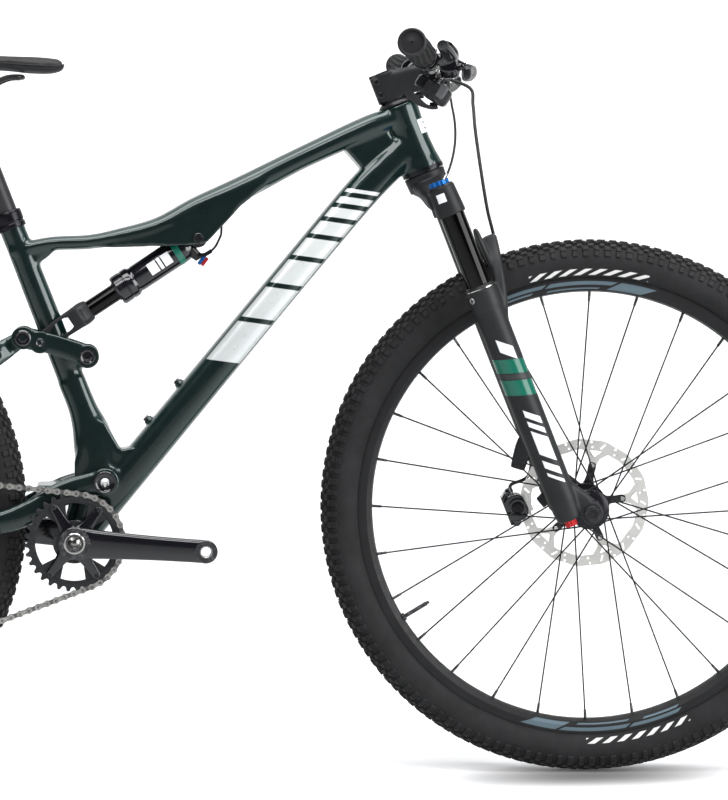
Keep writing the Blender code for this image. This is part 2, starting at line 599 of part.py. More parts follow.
def build_fork_lowers():
    place_empty("fork_travel", CROWN, "steering")
    parts, cutters = [], []
    for side in (-1, 1):
        y = side * STANCHION_SPREAD
        profile = [(0, 0), (0, 0.0170), (0.020, 0.0200), (0.120, 0.0205), (0.330, 0.0218), (0.338, 0.0205),
                   (0.338, 0)]
        parts.append(turned(profile, fork(STANCHION_AHEAD, -0.5100, y), STEER_UP, 20))
        cutters.append(cone(fork(STANCHION_AHEAD, -0.4500, y), fork(STANCHION_AHEAD, -0.1500, y),
                            STANCHION_RADIUS + 0.0004, sides=20))
        parts.append(beam([(fork(0.018, -0.4650, side * 0.0660), 0.0120, 0.0130),
                           (fork(0.036, -0.4950, side * 0.0640), 0.0085, 0.0150),
                           (fork(0.044, -0.5120, side * 0.0640), 0.0085, 0.0145)], power=3, count=10))
        parts.append(across(fork(0.044, -0.512), side * 0.0555, side * 0.0735, 0.0150, sides=20))
    cutters.append(across(FRONT_AXLE, -0.09, 0.09, 0.0078))
    arch = []
    for ahead, along, y, wide, tall in (
            (0.030, -0.2150, -0.0600, 0.010, 0.012), (0.042, -0.1800, -0.0560, 0.011, 0.011),
            (0.052, -0.1380, -0.0400, 0.012, 0.0085), (0.054, -0.1160, 0.0, 0.014, 0.0080),
            (0.052, -0.1380, 0.0400, 0.012, 0.0085), (0.042, -0.1800, 0.0560, 0.011, 0.011),
            (0.030, -0.2150, 0.0600, 0.010, 0.012)):
        arch.append((fork(ahead, along, y), wide, tall))
    parts.append(beam(arch, power=3, count=10, wide=STEER_AHEAD))
    parts.append(beam([(fork(-0.002, -0.4150, 0.0570), 0.0060, 0.0120),
                       (fork(-0.026, -0.4350, 0.0530), 0.0060, 0.0110)], power=4, count=8))
    finish("fork_lowers", fuse(parts, cutters), "black", "fork_travel")
    axle = fuse([across(FRONT_AXLE, -0.0745, 0.0740, 0.0075), across(FRONT_AXLE, -0.0790, -0.0740, 0.0110)])
    finish("front_axle", axle, "anodised", "fork_travel")
    turn = fork_turn(fork(-0.0445, -0.4830, 0.0400))
    halves = box((-0.0190, -0.0105, -0.0260), (0.0150, 0.0180, 0.0260), turn)
    boss = cone(fork(-0.0300, -0.4640, 0.0530), fork(-0.0260, -0.4470, 0.0530), 0.0060, sides=12)
    slot = box((-0.0120, -0.0030, -0.06), (0.05, 0.0030, 0.06), turn)
    finish("front_caliper", fuse([halves, boss], [slot]), "black", "fork_travel")


# ---------------------------------------------------------------- wheels
RIM_RADIUS, RIM_INNER = 0.3170, 0.2976
SPOKES = 28
SPOKE_END = RIM_INNER - 0.0028


def spoke_shapes(axle, flanges):
    """Spokes from both flanges to the rim, each flange's spokes leaning by turns ahead and back."""
    made = []
    per_side = SPOKES // 2
    for side, (flange_y, flange_radius) in enumerate(flanges):
        for i in range(per_side):
            at_rim = 2 * math.pi * (i + side / 2) / per_side
            lean = math.radians(62 if i % 2 else -62)
            shift = 0.0011 if i % 2 else -0.0011
            hub_end = axle + Vector((math.cos(at_rim + lean) * flange_radius, flange_y + shift,
                                     math.sin(at_rim + lean) * flange_radius))
            rim_end = axle + Vector((math.cos(at_rim) * SPOKE_END, math.copysign(0.0030, flange_y),
                                     math.sin(at_rim) * SPOKE_END))
            made.append(cone(hub_end, rim_end, 0.0013, sides=3))
    return made


def build_wheel(word, axle, body, parent, hub_profile, flanges):
    place_empty(body, axle, parent)
    tyre = [(-0.0170, 0.3165), (-0.0280, 0.3300), (-0.0270, 0.3500), (-0.0090, 0.3700),
            (0.0090, 0.3700), (0.0270, 0.3500), (0.0280, 0.3300), (0.0170, 0.3165), (0, 0.3500)]
    finish(word + "_tyre", turned(tyre, axle, LEFT, 36, ring=True), "rubber", body)
    rim = [(-0.0150, 0.3160), (-0.0150, 0.3050), (-0.0100, RIM_INNER), (0.0100, RIM_INNER),
           (0.0150, 0.3050), (0.0150, 0.3160), (0.0110, 0.3160), (0, 0.3080), (-0.0110, 0.3160)]
    finish(word + "_rim", turned(rim, axle, LEFT, 36, ring=True), "black", body)
    hub = turned(hub_profile, axle, LEFT, 14, ring=True)
    finish(word + "_spoked_hub", fuse([hub] + spoke_shapes(axle, flanges)), "anodised", body)


def build_rotor(word, axle, y, radius, body):
    outline = turned([(-0.0009, radius - 0.0150), (0.0009, radius - 0.0150), (0.0009, radius),
                      (-0.0009, radius)], axle + y * LEFT, LEFT, 28, ring=True)
    parts = [outline]
    for i in range(5):
        a = math.radians(72 * i + 20)
        inner = Vector((math.cos(a) * 0.021, 0, math.sin(a) * 0.021))
        outer = Vector((math.cos(a + 0.35) * (radius - 0.0135), 0, math.sin(a + 0.35) * (radius - 0.0135)))
        start, end = axle + y * LEFT + inner, axle + y * LEFT + outer
        parts.append(beam([(start, 0.0008, 0.0060), (end, 0.0008, 0.0050)], power=6, count=8))
    parts.append(tube_between(axle + (y - 0.0030) * LEFT, axle + (y + 0.0030) * LEFT, 0.0245, 0.0165, 24))
    finish(word + "_rotor", fuse(parts), "steel", body)


def build_wheels():
    front_hub = [(-0.0548, 0.0080), (0.0548, 0.0080), (0.0548, 0.0110), (0.0440, 0.0110), (0.0440, 0.0160),
                 (0.0335, 0.0160), (0.0335, 0.0165), (0.0315, 0.0290), (0.0275, 0.0290), (0.0240, 0.0140),
                 (-0.0270, 0.0140), (-0.0310, 0.0270), (-0.0350, 0.0270), (-0.0380, 0.0150),
                 (-0.0500, 0.0110), (-0.0548, 0.0110)]
    build_wheel("front", FRONT_AXLE, "front_wheel_spin", "fork_travel", front_hub,
                ((0.0295, 0.0260), (-0.0330, 0.0245)))
    build_rotor("front", FRONT_AXLE, 0.0400, 0.0900, "front_wheel_spin")
    rear_hub = [(-0.0738, 0.0066), (0.0738, 0.0066), (0.0738, 0.0105), (0.0560, 0.0105), (0.0560, 0.0160),
                (0.0400, 0.0160), (0.0370, 0.0290), (0.0330, 0.0290), (0.0290, 0.0150), (-0.0180, 0.0150),
                (-0.0210, 0.0290), (-0.0250, 0.0290), (-0.0290, 0.0160), (-0.0320, 0.0115),
                (-0.0738, 0.0115)]
    build_wheel("rear", REAR_AXLE, "rear_wheel_spin", "rear_suspension", rear_hub,
                ((0.0350, 0.0260), (-0.0230, 0.0260)))
    build_rotor("rear", REAR_AXLE, 0.0500, 0.0800, "rear_wheel_spin")


# ---------------------------------------------------------------- drivetrain
CHAIN_HALF_WIDE, CHAIN_HALF_THICK = 0.0024, 0.0038
RING_Y, COG_Y = -0.0520, -0.0415
RING_RADIUS, COG_RADIUS, PULLEY_RADIUS = (pitch_radius(n) for n in (RING_TEETH, COG_TEETH, PULLEY_TEETH))
GUIDE_PULLEY, TENSION_PULLEY = Vector((-0.5510, 0, 0.2360)), Vector((-0.5350, 0, 0.1450))
CHAIN_SPLIT_X = -0.1750


def side_angle(vector):
    return math.degrees(math.atan2(vector.z, vector.x))


def on_circle(centre, radius, degrees, y):
    a = math.radians(degrees)
    return Vector((centre.x + radius * math.cos(a), y, centre.z + radius * math.sin(a)))


def chain_angles():
    """Where the chain meets and leaves each wheel, in degrees from +X towards +Z."""
    back = REAR_AXLE - BB
    top = side_angle(back) - math.degrees(math.acos((RING_RADIUS - COG_RADIUS) / back.length))
    down = GUIDE_PULLEY - REAR_AXLE
    off_cog = side_angle(down) - math.degrees(math.acos((COG_RADIUS + PULLEY_RADIUS) / down.length))
    between = TENSION_PULLEY - GUIDE_PULLEY
    off_guide = side_angle(between) + math.degrees(math.acos(2 * PULLEY_RADIUS / between.length))
    forward = BB - TENSION_PULLEY
    lean = math.degrees(math.asin((RING_RADIUS - PULLEY_RADIUS) / forward.length))
    off_tension = side_angle(forward) - 90 - lean
    return top, off_cog + 360, off_guide, off_tension


def circle_run(centre, radius, start, end, y, count):
    return [on_circle(centre, radius, start + (end - start) * i / (count - 1), y) for i in range(count)]


def chain_paths():
    top, off_cog, off_guide, off_tension = chain_angles()
    ring_top, ring_low = on_circle(BB, RING_RADIUS, top, RING_Y), on_circle(BB, RING_RADIUS, off_tension,
                                                                            RING_Y)
    cog_top = on_circle(REAR_AXLE, COG_RADIUS, top, COG_Y)
    pulley_low = on_circle(TENSION_PULLEY, PULLEY_RADIUS, off_tension, COG_Y)
    upper_split = ring_top.lerp(cog_top, (ring_top.x - CHAIN_SPLIT_X) / (ring_top.x - cog_top.x))
    lower_split = ring_low.lerp(pulley_low, (ring_low.x - CHAIN_SPLIT_X) / (ring_low.x - pulley_low.x))
    front = [upper_split] + circle_run(BB, RING_RADIUS, top, off_tension, RING_Y, 14) + [lower_split]
    step = Vector((-0.0004, 0, 0))
    rear = [upper_split + step] + circle_run(REAR_AXLE, COG_RADIUS, top, off_cog, COG_Y, 12)
    rear += circle_run(GUIDE_PULLEY, PULLEY_RADIUS, off_cog - 180, off_guide, COG_Y, 6)
    rear += circle_run(TENSION_PULLEY, PULLEY_RADIUS, off_guide + 180, off_tension + 360, COG_Y, 7)
    rear += [lower_split + step]
    return front, rear


def crank_arm(side):
    """An arm with its boss and pedal boss. The right arm points ahead, the left one back."""
    reach = Vector((math.cos(CRANK_DROP), 0, -math.sin(CRANK_DROP))) * (1 if side < 0 else -1)
    stations = ((0.0, 0.0650, 0.0070, 0.0205), (0.035, 0.0665, 0.0070, 0.0190),
                (0.100, 0.0715, 0.0068, 0.0165), (0.160, 0.0765, 0.0068, 0.0145),
                (CRANK_LENGTH, 0.0770, 0.0068, 0.0135))
    arm = beam([(BB + reach * d + side * y * LEFT, w, t) for d, y, w, t in stations], power=3.4)
    pedal = BB + reach * CRANK_LENGTH
    boss = across(pedal, side * 0.0700, side * 0.0840, 0.0140)
    hub = across(BB, side * 0.0580, side * 0.0745, 0.0215, sides=24)
    hole = across(pedal, side * 0.05, side * 0.10, 0.0070, sides=16)
    return [arm, boss, hub], [hole]


def build_crank_body():
    place_empty("crank_spin", BB, "bike")
    parts, holes = crank_arm(-1)
    spindle = across(BB, -0.0600, 0.0560, 0.0125)
    finish("crank_right", fuse(parts + [spindle], holes + [across(BB, -0.09, 0.09, 0.0090)]), "black",
           "crank_spin")
    parts, holes = crank_arm(1)
    finish("crank_left", fuse(parts, holes + [across(BB, 0.0563, 0.09, 0.0090)]), "black", "crank_spin")
    ring = turned([(-0.0012, 0.0520), (0.0012, 0.0520), (0.0012, RING_RADIUS - 0.0042),
                   (-0.0012, RING_RADIUS - 0.0042)], BB + RING_Y * LEFT, LEFT, 28, ring=True)
    parts = [ring, tube_between(BB - 0.0575 * LEFT, BB - 0.0500 * LEFT, 0.0210, 0.0128, 18)]
    for degrees in (52, 120, 232, 303):
        start, end = on_circle(BB, 0.018, degrees, RING_Y - 0.0005), on_circle(BB, 0.0550, degrees,
                                                                               RING_Y - 0.0005)
        parts.append(beam([(start, 0.0022, 0.0110), (end, 0.0018, 0.0060)], power=5, count=8))
    finish("chainring", fuse(parts), "black", "crank_spin")


CASSETTE = (10, 12, 14, 16, 18, 21, 24, 28, 33, 39, 45, 51)


def build_cassette():
    place_empty("cassette_spin", REAR_AXLE, "rear_suspension")
    step, thick = 0.00327, 0.0015
    outer_y = COG_Y - 9 * step
    profile = [(outer_y - thick / 2, 0.0120)]
    for i, teeth in enumerate(CASSETTE):
        y, radius = outer_y + i * step, pitch_radius(teeth) - (0.0045 if teeth == COG_TEETH else 0.0)
        profile += [(y - thick / 2, radius), (y + (thick if i > 8 else step) / 2, radius)]
        if i > 8 and i < len(CASSETTE) - 1:
            profile += [(y + thick / 2, radius - 0.0150), (y + step - thick / 2, radius - 0.0150)]
    profile.append((outer_y + 11 * step + thick / 2, 0.0120))
    finish("cassette", turned(profile, REAR_AXLE, LEFT, 20, ring=True), "anodised", "cassette_spin")


def build_pulley(word, centre, body):
    place_empty(body, centre, "rear_suspension")
    radius = PULLEY_RADIUS - 0.0049
    wheel = turned([(-0.0011, 0.0040), (0.0011, 0.0040), (0.0011, radius), (-0.0011, radius)],
                   centre + COG_Y * LEFT, LEFT, 24, ring=True)
    finish(word, wheel, "black", body)


def build_derailleur():
    inner_y, outer_y = COG_Y + 0.0050, COG_Y - 0.0055
    parts = []
    line = (TENSION_PULLEY - GUIDE_PULLEY).normalized()
    for y in (inner_y, outer_y):
        parts.append(beam([(GUIDE_PULLEY - line * 0.014 + y * LEFT, 0.0009, 0.0100),
                           (GUIDE_PULLEY + line * 0.025 + y * LEFT, 0.0009, 0.0130),
                           (TENSION_PULLEY - line * 0.02 + y * LEFT, 0.0009, 0.0110),
                           (TENSION_PULLEY + line * 0.012 + y * LEFT, 0.0009, 0.0080)], power=5, count=8))
    for centre in (GUIDE_PULLEY, TENSION_PULLEY):
        parts.append(across(centre, outer_y - 0.0006, inner_y + 0.0006, 0.0036, sides=12))
    finish("derailleur_cage", fuse(parts), "black", "rear_suspension")
    knuckle = Vector((-0.5760, 0, 0.3260))
    body = [beam([(at(-0.5745, 0.3470, -0.0940), 0.0040, 0.0100),
                  (knuckle + Vector((0, -0.0940, 0)), 0.0050, 0.0130)], power=3, count=10),
            across(knuckle, -0.1010, -0.0880, 0.0135),
            beam([(knuckle + Vector((0.000, -0.0850, -0.0080)), 0.0100, 0.0110),
                  (at(-0.5680, 0.2900, -0.0760), 0.0110, 0.0150),
                  (at(-0.5560, 0.2500, -0.0640), 0.0095, 0.0140)], power=3, count=10),
            across(GUIDE_PULLEY, -0.0745, outer_y - 0.0020, 0.0165),]
    finish("derailleur_body", fuse(body), "black", "rear_suspension")


# ---------------------------------------------------------------- rear suspension
def side_stay(stations, side, power=3):
    return beam([(Vector((x, side * y, z)), w, t) for x, y, z, w, t in stations], power=power)


def build_chainstay():
    place_empty("rear_suspension", MAIN_PIVOT, "bike")
    parts = []
    for side in (-1, 1):
        parts.append(across(MAIN_PIVOT, side * 0.0290, side * 0.0402, 0.0190))
        parts.append(side_stay([(-0.098, 0.0346, 0.4115, 0.0054, 0.0170),
                                (-0.150, 0.0365, 0.3980, 0.0065, 0.0170),
                                (-0.195, 0.0420, 0.3740, 0.0075, 0.0165),
                                (-0.240, 0.0455, 0.3590, 0.0080, 0.0150),
                                (-0.320, 0.0500, 0.3530, 0.0075, 0.0135),
                                (-0.430, 0.0585, 0.3540, 0.0060, 0.0125),
                                (-0.500, 0.0705, 0.3600, 0.0055, 0.0125),
                                (-0.540, 0.0780, 0.3670, 0.0040, 0.0145),
                                (-0.563, 0.0784, 0.3700, 0.0039, 0.0150)], side))
        parts.append(across(REAR_AXLE, side * 0.0744, side * 0.0824, 0.0180, sides=24))
    parts.append(box((-0.190, -0.0360, 0.3860), (-0.150, 0.0360, 0.4140)))
    bracket = beam([(at(-0.5050, 0.3700, 0.0700), 0.0045, 0.0150),
                    (at(-0.4980, 0.3930, 0.0685), 0.0045, 0.0100)], power=4, count=10)
    parts += [bracket, hanger()]
    cutters = [across(MAIN_PIVOT, -0.06, 0.06, 0.0077), across(REAR_AXLE, -0.10, 0.10, 0.0063)]
    finish("chainstay", fuse(parts, cutters), "paint", "rear_suspension")
    axle = fuse([across(REAR_AXLE, -0.0900, 0.0890, 0.0060), across(REAR_AXLE, -0.0925, -0.0891, 0.0085)])
    finish("rear_axle", axle, "anodised", "rear_suspension")
    turn = Matrix.Translation(Vector((-0.5100, 0.0500, 0.4240))) @ Matrix.Rotation(math.radians(-42), 4,
                                                                                   "Y")
    halves = box((-0.0180, -0.0125, -0.0220), (0.0180, 0.0125, 0.0220), turn)
    slot = box((-0.06, -0.0030, -0.05), (0.0050, 0.0030, 0.05), turn)
    finish("rear_caliper", fuse([halves], [slot]), "black", "rear_suspension")


def hanger():
    """The derailleur hanger below the right dropout, stepped out beside the wheel's axle."""
    inner = box((-0.5800, -0.0822, 0.3340), (-0.5660, -0.0750, 0.3600))
    return fuse([inner, box((-0.5805, -0.0870, 0.3330), (-0.5655, -0.0800, 0.3500))])


def build_seatstay():
    place_empty("seatstay_pivot", REAR_AXLE, "rear_suspension")
    parts = []
    toward = (REAR_AXLE - STAY_PIVOT).normalized()
    for side in (-1, 1):
        path = ((0.000, 0.0225, 0.0033, 0.0105), (0.019, 0.0226, 0.0036, 0.0125),
                (0.032, 0.0275, 0.0060, 0.0140), (0.075, 0.0405, 0.0070, 0.0155),
                (0.160, 0.0455, 0.0065, 0.0125), (0.290, 0.0600, 0.0060, 0.0105),
                (0.345, 0.0765, 0.0060, 0.0108), (0.385, 0.0862, 0.0031, 0.0120),
                (0.420, 0.0858, 0.0029, 0.0130))
        parts.append(beam([(STAY_PIVOT + toward * d + side * y * LEFT, w, t) for d, y, w, t in path],
                          power=3))
        parts.append(across(STAY_PIVOT, side * 0.0192, side * 0.0260, 0.0108))
        parts.append(across(REAR_AXLE, side * 0.0828, side * 0.0888, 0.0165, sides=24))
    bridge = STAY_PIVOT + toward * 0.0430
    parts.append(across(bridge, -0.0360, 0.0360, 0.0095))
    cutters = [across(STAY_PIVOT, -0.06, 0.06, 0.0053), across(REAR_AXLE, -0.10, 0.10, 0.0063)]
    finish("seatstay", fuse(parts, cutters), "paint", "seatstay_pivot")


# The rocker's pins are thin in wide eyes: constant joint ratios leave the pins up to 3 mm off centre.
PIN_RADIUS = 0.0020


def build_rocker():
    place_empty("rocker", ROCKER_PIVOT, "bike")
    pivots = (ROCKER_PIVOT, STAY_PIVOT, YOKE_PIVOT)
    for side, word in ((-1, "right"), (1, "left")):
        arm = beam([(ROCKER_PIVOT + side * 0.0315 * LEFT, 0.0045, 0.0140),
                    ((ROCKER_PIVOT + STAY_PIVOT) / 2 + Vector((0, side * 0.0315, 0.003)), 0.0045, 0.0135),
                    (STAY_PIVOT + side * 0.0315 * LEFT, 0.0045, 0.0135)], power=5, count=8)
        parts = [arm] + [across(p, side * 0.0270, side * 0.0360, r) for p,
                         r in zip(pivots, (0.0158, 0.0155, 0.0150))]
        parts += [across(p, side * 0.0200, side * 0.0280, PIN_RADIUS) for p in pivots[1:]]
        finish("rocker_link_" + word, fuse(parts, [across(ROCKER_PIVOT, -0.05, 0.05, 0.0063)]), "paint",
               "rocker")


def build_shock():
    place_empty("shock_swing", SHOCK_MOUNT, "bike")
    can = turned([(0.0120, 0), (0.0120, 0.0110), (0.0200, 0.0175), (0.0300, 0.0185), (0.1030, 0.0185),
                  (0.1060, 0.0210), (0.1290, 0.0210), (0.1310, 0.0190), (0.1310, 0)], SHOCK_MOUNT,
                 SHOCK_DOWN, 20)
    eye = across(SHOCK_MOUNT, -0.0150, 0.0150, 0.0125)
    stub = cone(shock(0.004), shock(0.020), 0.0100, sides=16)
    bore = cone(shock(0.0360), shock(0.1500), 0.0124, sides=20)
    bolt_hole = across(SHOCK_MOUNT, -0.05, 0.05, 0.0042, sides=14)
    finish("shock_body", fuse([can, eye, stub], [bore, bolt_hole]), "black", "shock_swing")
    place_empty("shock_stroke", SHOCK_MOUNT, "shock_swing")
    finish("shock_shaft", cone(shock(0.0830), shock(0.1762), 0.0119, sides=20), "anodised", "shock_stroke")
    block = beam([(shock(0.1765), 0.0135, 0.0150), (shock(0.1860), 0.0225, 0.0160),
                  (shock(0.2000), 0.0250, 0.0150)], power=3.4)
    parts = [block]
    for side in (-1, 1):
        y = side * 0.0225
        parts.append(beam([(shock(0.190, 0.0, y), 0.0028, 0.0150), (shock(0.2250, 0.0, y), 0.0028, 0.0140),
                           (shock(0.2544, 0.0, y), 0.0028, 0.0105)], power=4, count=8))
        parts.append(across(YOKE_PIVOT, side * 0.0197, side * 0.0253, 0.0108))
    finish("shock_yoke", fuse(parts, [across(YOKE_PIVOT, -0.05, 0.05, 0.0053)]), "paint", "shock_stroke")


def build_chain():
    front, rear = chain_paths()
    finish("chain_front", band(front, CHAIN_HALF_WIDE, CHAIN_HALF_THICK), "steel", "bike")
    finish("chain_rear", band(rear, CHAIN_HALF_WIDE, CHAIN_HALF_THICK), "steel", "rear_suspension")


build_frame_body()
build_saddle_body()
build_steering_body()
build_fork_lowers()
build_chainstay()
build_seatstay()
build_rocker()
build_shock()
build_crank_body()
build_cassette()
build_pulley("guide_pulley", GUIDE_PULLEY, "guide_pulley_spin")
build_pulley("tension_pulley", TENSION_PULLEY, "tension_pulley_spin")
build_derailleur()
build_wheels()
build_chain()
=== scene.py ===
"""The looks of a full-suspension mountain bike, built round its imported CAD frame.

Frame: +X forward, +Y to the rider's left, +Z up, metres. The drive side is at -Y. Pieces of the front
end are built as if it pointed straight ahead, then turned onto the CAD's resting steering angle.
"""
import json
import math
import random

import bmesh
import bpy
from mathutils import Matrix, Vector


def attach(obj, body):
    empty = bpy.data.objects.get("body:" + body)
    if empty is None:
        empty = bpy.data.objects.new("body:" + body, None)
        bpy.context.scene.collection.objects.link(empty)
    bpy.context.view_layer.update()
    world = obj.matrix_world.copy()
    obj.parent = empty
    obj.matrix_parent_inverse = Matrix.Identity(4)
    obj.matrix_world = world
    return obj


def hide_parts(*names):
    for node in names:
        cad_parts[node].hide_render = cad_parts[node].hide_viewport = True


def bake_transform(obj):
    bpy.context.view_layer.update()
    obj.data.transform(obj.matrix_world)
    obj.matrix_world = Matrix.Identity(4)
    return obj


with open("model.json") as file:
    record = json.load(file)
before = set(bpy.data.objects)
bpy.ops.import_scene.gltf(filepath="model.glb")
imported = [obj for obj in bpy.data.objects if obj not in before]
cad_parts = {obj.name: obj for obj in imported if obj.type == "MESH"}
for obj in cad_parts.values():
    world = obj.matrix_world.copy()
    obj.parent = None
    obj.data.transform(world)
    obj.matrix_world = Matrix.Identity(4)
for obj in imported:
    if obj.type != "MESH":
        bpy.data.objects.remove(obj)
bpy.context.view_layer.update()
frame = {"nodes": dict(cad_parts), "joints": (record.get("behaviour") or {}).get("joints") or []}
random.seed(7)

# ---------------------------------------------------------------- where things are
JOINTS = {joint["name"]: joint for joint in frame["joints"]}
WHEEL_RADIUS, WHEELBASE = 0.370, 1.139
LEFT, UP, AHEAD = Vector((0, 1, 0)), Vector((0, 0, 1)), Vector((1, 0, 0))
SIDES = ((-1, "right"), (1, "left"))
HEAD_ANGLE = math.radians(68.5)
STEER_UP = Vector((-math.cos(HEAD_ANGLE), 0, math.sin(HEAD_ANGLE)))
STEER_AHEAD = Vector((math.sin(HEAD_ANGLE), 0, math.cos(HEAD_ANGLE)))


def joint_point(name):
    return Vector(JOINTS[name]["pos_m"])


CROWN = joint_point("steering")
BB = joint_point("crank_spin")
MAIN_PIVOT = joint_point("rear_suspension")
ROCKER_PIVOT = joint_point("rocker_pivot")
REAR_AXLE = joint_point("rear_wheel_spin")
SHOCK_MOUNT = joint_point("shock_swing")
GUIDE_PULLEY, TENSION_PULLEY = joint_point("guide_pulley_spin"), joint_point("tension_pulley_spin")
FRONT_AXLE = Vector((WHEELBASE / 2, 0, WHEEL_RADIUS))
STAY_PIVOT, YOKE_PIVOT = Vector((-0.2035, 0, 0.6062)), Vector((-0.1807, 0, 0.6003))
SHOCK_DOWN = (YOKE_PIVOT - SHOCK_MOUNT).normalized()
SHOCK_UP = LEFT.cross(SHOCK_DOWN).normalized()
SEAT_TUBE_TOP = Vector((-0.2220, 0, 0.765))
SEAT_UP = Vector((-0.383, 0, 1)).normalized()
DOWN_TUBE_ALONG = Vector((0.6388, 0, 0.7693))
DOWN_TUBE_UP = Vector((-0.7693, 0, 0.6388))
DOWN_TUBE_FOOT = Vector((-0.0604, 0, 0.4240))
LEG_AHEAD, LEG_SPREAD = 0.013, 0.065
REST_STEER = math.radians(-5.9)
STEER = Matrix.Translation(CROWN) @ Matrix.Rotation(REST_STEER, 4, STEER_UP) @ Matrix.Translation(-CROWN)


def fork(ahead, along, across=0.0):
    return CROWN + ahead * STEER_AHEAD + along * STEER_UP + across * LEFT


def leg(side, along, ahead=0.0):
    """A point on a fork leg's axis, or ahead of it."""
    return fork(LEG_AHEAD + ahead, along, side * LEG_SPREAD)


def shock(along, above=0.0, across=0.0):
    return SHOCK_MOUNT + along * SHOCK_DOWN + above * SHOCK_UP + across * LEFT


def seat(along):
    return SEAT_TUBE_TOP + along * SEAT_UP


def down_tube(along, above):
    return DOWN_TUBE_FOOT + along * DOWN_TUBE_ALONG + above * DOWN_TUBE_UP


def at(x, z, y=0.0):
    return Vector((x, y, z))


def axes(x, y, z, origin=Vector()):
    """The matrix whose columns are these directions."""
    return Matrix.Translation(origin) @ Matrix((x, y, z)).transposed().to_4x4()


def polar_out(angle):
    """The direction at this angle round the steering axis, from straight ahead towards the left."""
    return STEER_AHEAD * math.cos(angle) + LEFT * math.sin(angle)


def fork_axes(origin):
    return axes(STEER_AHEAD, LEFT, STEER_UP, origin)


# ---------------------------------------------------------------- shapes: (points, faces)
def smooth_path(points, per=8):
    """A Catmull-Rom curve through equally long tuples of numbers."""
    points = [tuple(p) for p in points]
    ends = [points[0]] + points + [points[-1]]
    out = []
    for a, b, c, d in zip(ends, ends[1:], ends[2:], ends[3:]):
        for k in range(per):
            t = k / per
            out.append(tuple(0.5 * (2 * q + (r - p) * t + (2 * p - 5 * q + 4 * r - s) * t * t
                                    + (3 * q - p - 3 * r + s) * t ** 3) for p, q, r, s in zip(a, b, c, d)))
    out.append(points[-1])
    return out


def tube_faces(rows, around, closed=False):
    """Faces between rings of points, with end caps unless the last ring runs into the first."""
    faces = []
    for i in range(rows if closed else rows - 1):
        k = (i + 1) % rows
        for j in range(around):
            n = (j + 1) % around
            faces.append((i * around + j, i * around + n, k * around + n, k * around + j))
    if not closed:
        faces.append(tuple(range(around))[::-1])
        faces.append(tuple((rows - 1) * around + j for j in range(around)))
    return faces


def rings_shape(rings, closed=False):
    points = [Vector(p) for ring in rings for p in ring]
    return points, tube_faces(len(rings), len(rings[0]), closed=closed)


def joined(*shapes):
    points, faces = [], []
    for more_points, more_faces in shapes:
        start = len(points)
        points += more_points
        faces += [tuple(i + start for i in face) for face in more_faces]
    return points, faces


def moved(shape, matrix):
    return [matrix @ Vector(p) for p in shape[0]], shape[1]


def mirrored(shape):
    return [Vector((p[0], -p[1], p[2])) for p in shape[0]], [face[::-1] for face in shape[1]]


def both(shape):
    return joined(shape, mirrored(shape))


def section(centre, wide, tall, half_wide, half_tall, power=2.0, count=32):
    ring = []
    for i in range(count):
        a = 2 * math.pi * (i + 0.5) / count
        c, s = math.cos(a), math.sin(a)
        ring.append(centre + math.copysign(abs(c) ** (2 / power), c) * half_wide * wide
                    + math.copysign(abs(s) ** (2 / power), s) * half_tall * tall)
    return ring


def beam(stations, wide=LEFT, tall=None, power=2.6, count=32, per=8):
    """A smooth loft along stations of (centre, half width, half height)."""
    rows = smooth_path([(*s[0], s[1], s[2]) for s in stations], per)
    centres = [Vector(r[:3]) for r in rows]
    rings = []
    for i, row in enumerate(rows):
        along = (centres[min(i + 1, len(rows) - 1)] - centres[max(i - 1, 0)]).normalized()
        up = tall or along.cross(wide).normalized()
        rings.append(section(centres[i], wide, up, row[3], row[4], power, count))
    return rings_shape(rings)


def wire(path, radius, sides=12, per=8, closed=False):
    """A round bar along a smooth path; radius is a number or one for each point."""
    radii = radius if isinstance(radius, (list, tuple)) else [radius] * len(path)
    rows = smooth_path([(*p, r) for p, r in zip(path, radii)], per)
    centres = [Vector(r[:3]) for r in rows]
    rings, side = [], None
    for i, row in enumerate(rows):
        along = (centres[min(i + 1, len(rows) - 1)] - centres[max(i - 1, 0)]).normalized()
        if side is None:
            side = along.cross(UP if abs(along.z) < 0.9 else LEFT).normalized()
        side = (side - along * side.dot(along)).normalized()
        rings.append(section(centres[i], side, along.cross(side), row[3], row[3], 2.0, sides))
    return rings_shape(rings, closed)


def facing(direction, origin=Vector()):
    return Matrix.Translation(origin) @ direction.to_track_quat("Z", "Y").to_matrix().to_4x4()


def hex_radius(radius, angle):
    """The distance to a hexagon's flat at this angle, for a hexagon whose corners are at radius."""
    turn = angle % (math.pi / 3) - math.pi / 6
    return radius * math.cos(math.pi / 6) / math.cos(turn)


def turned(profile, origin, axis, steps=48, ring=False):
    """A shape turned from (along, radius) points; ring joins the last to the first.

    A negative radius is a hexagon, as in a bolt's socket.
    """
    place = facing(axis, origin)
    count = len(profile)
    points, faces = [], []
    for i in range(steps):
        a = 2 * math.pi * i / steps
        for z, r in profile:
            radius = hex_radius(-r, a) if r < 0 else r
            points.append(place @ Vector((radius * math.cos(a), radius * math.sin(a), z)))
        k = (i + 1) % steps
        for j in range(count if ring else count - 1):
            n = (j + 1) % count
            faces.append((i * count + j, k * count + j, k * count + n, i * count + n))
    return points, faces


def cylinder(start, end, radius, sides=32, bevel=0.0006, end_radius=None):
    """A capped cylinder with a small chamfer at both ends."""
    length = (end - start).length
    far = radius if end_radius is None else end_radius
    edge = min(bevel, length * 0.3, radius * 0.3)
    profile = [(0, 0), (0, radius - edge), (edge, radius), (length - edge, far), (length, far - edge),
               (length, 0)]
    return turned(profile, start, (end - start).normalized(), sides)


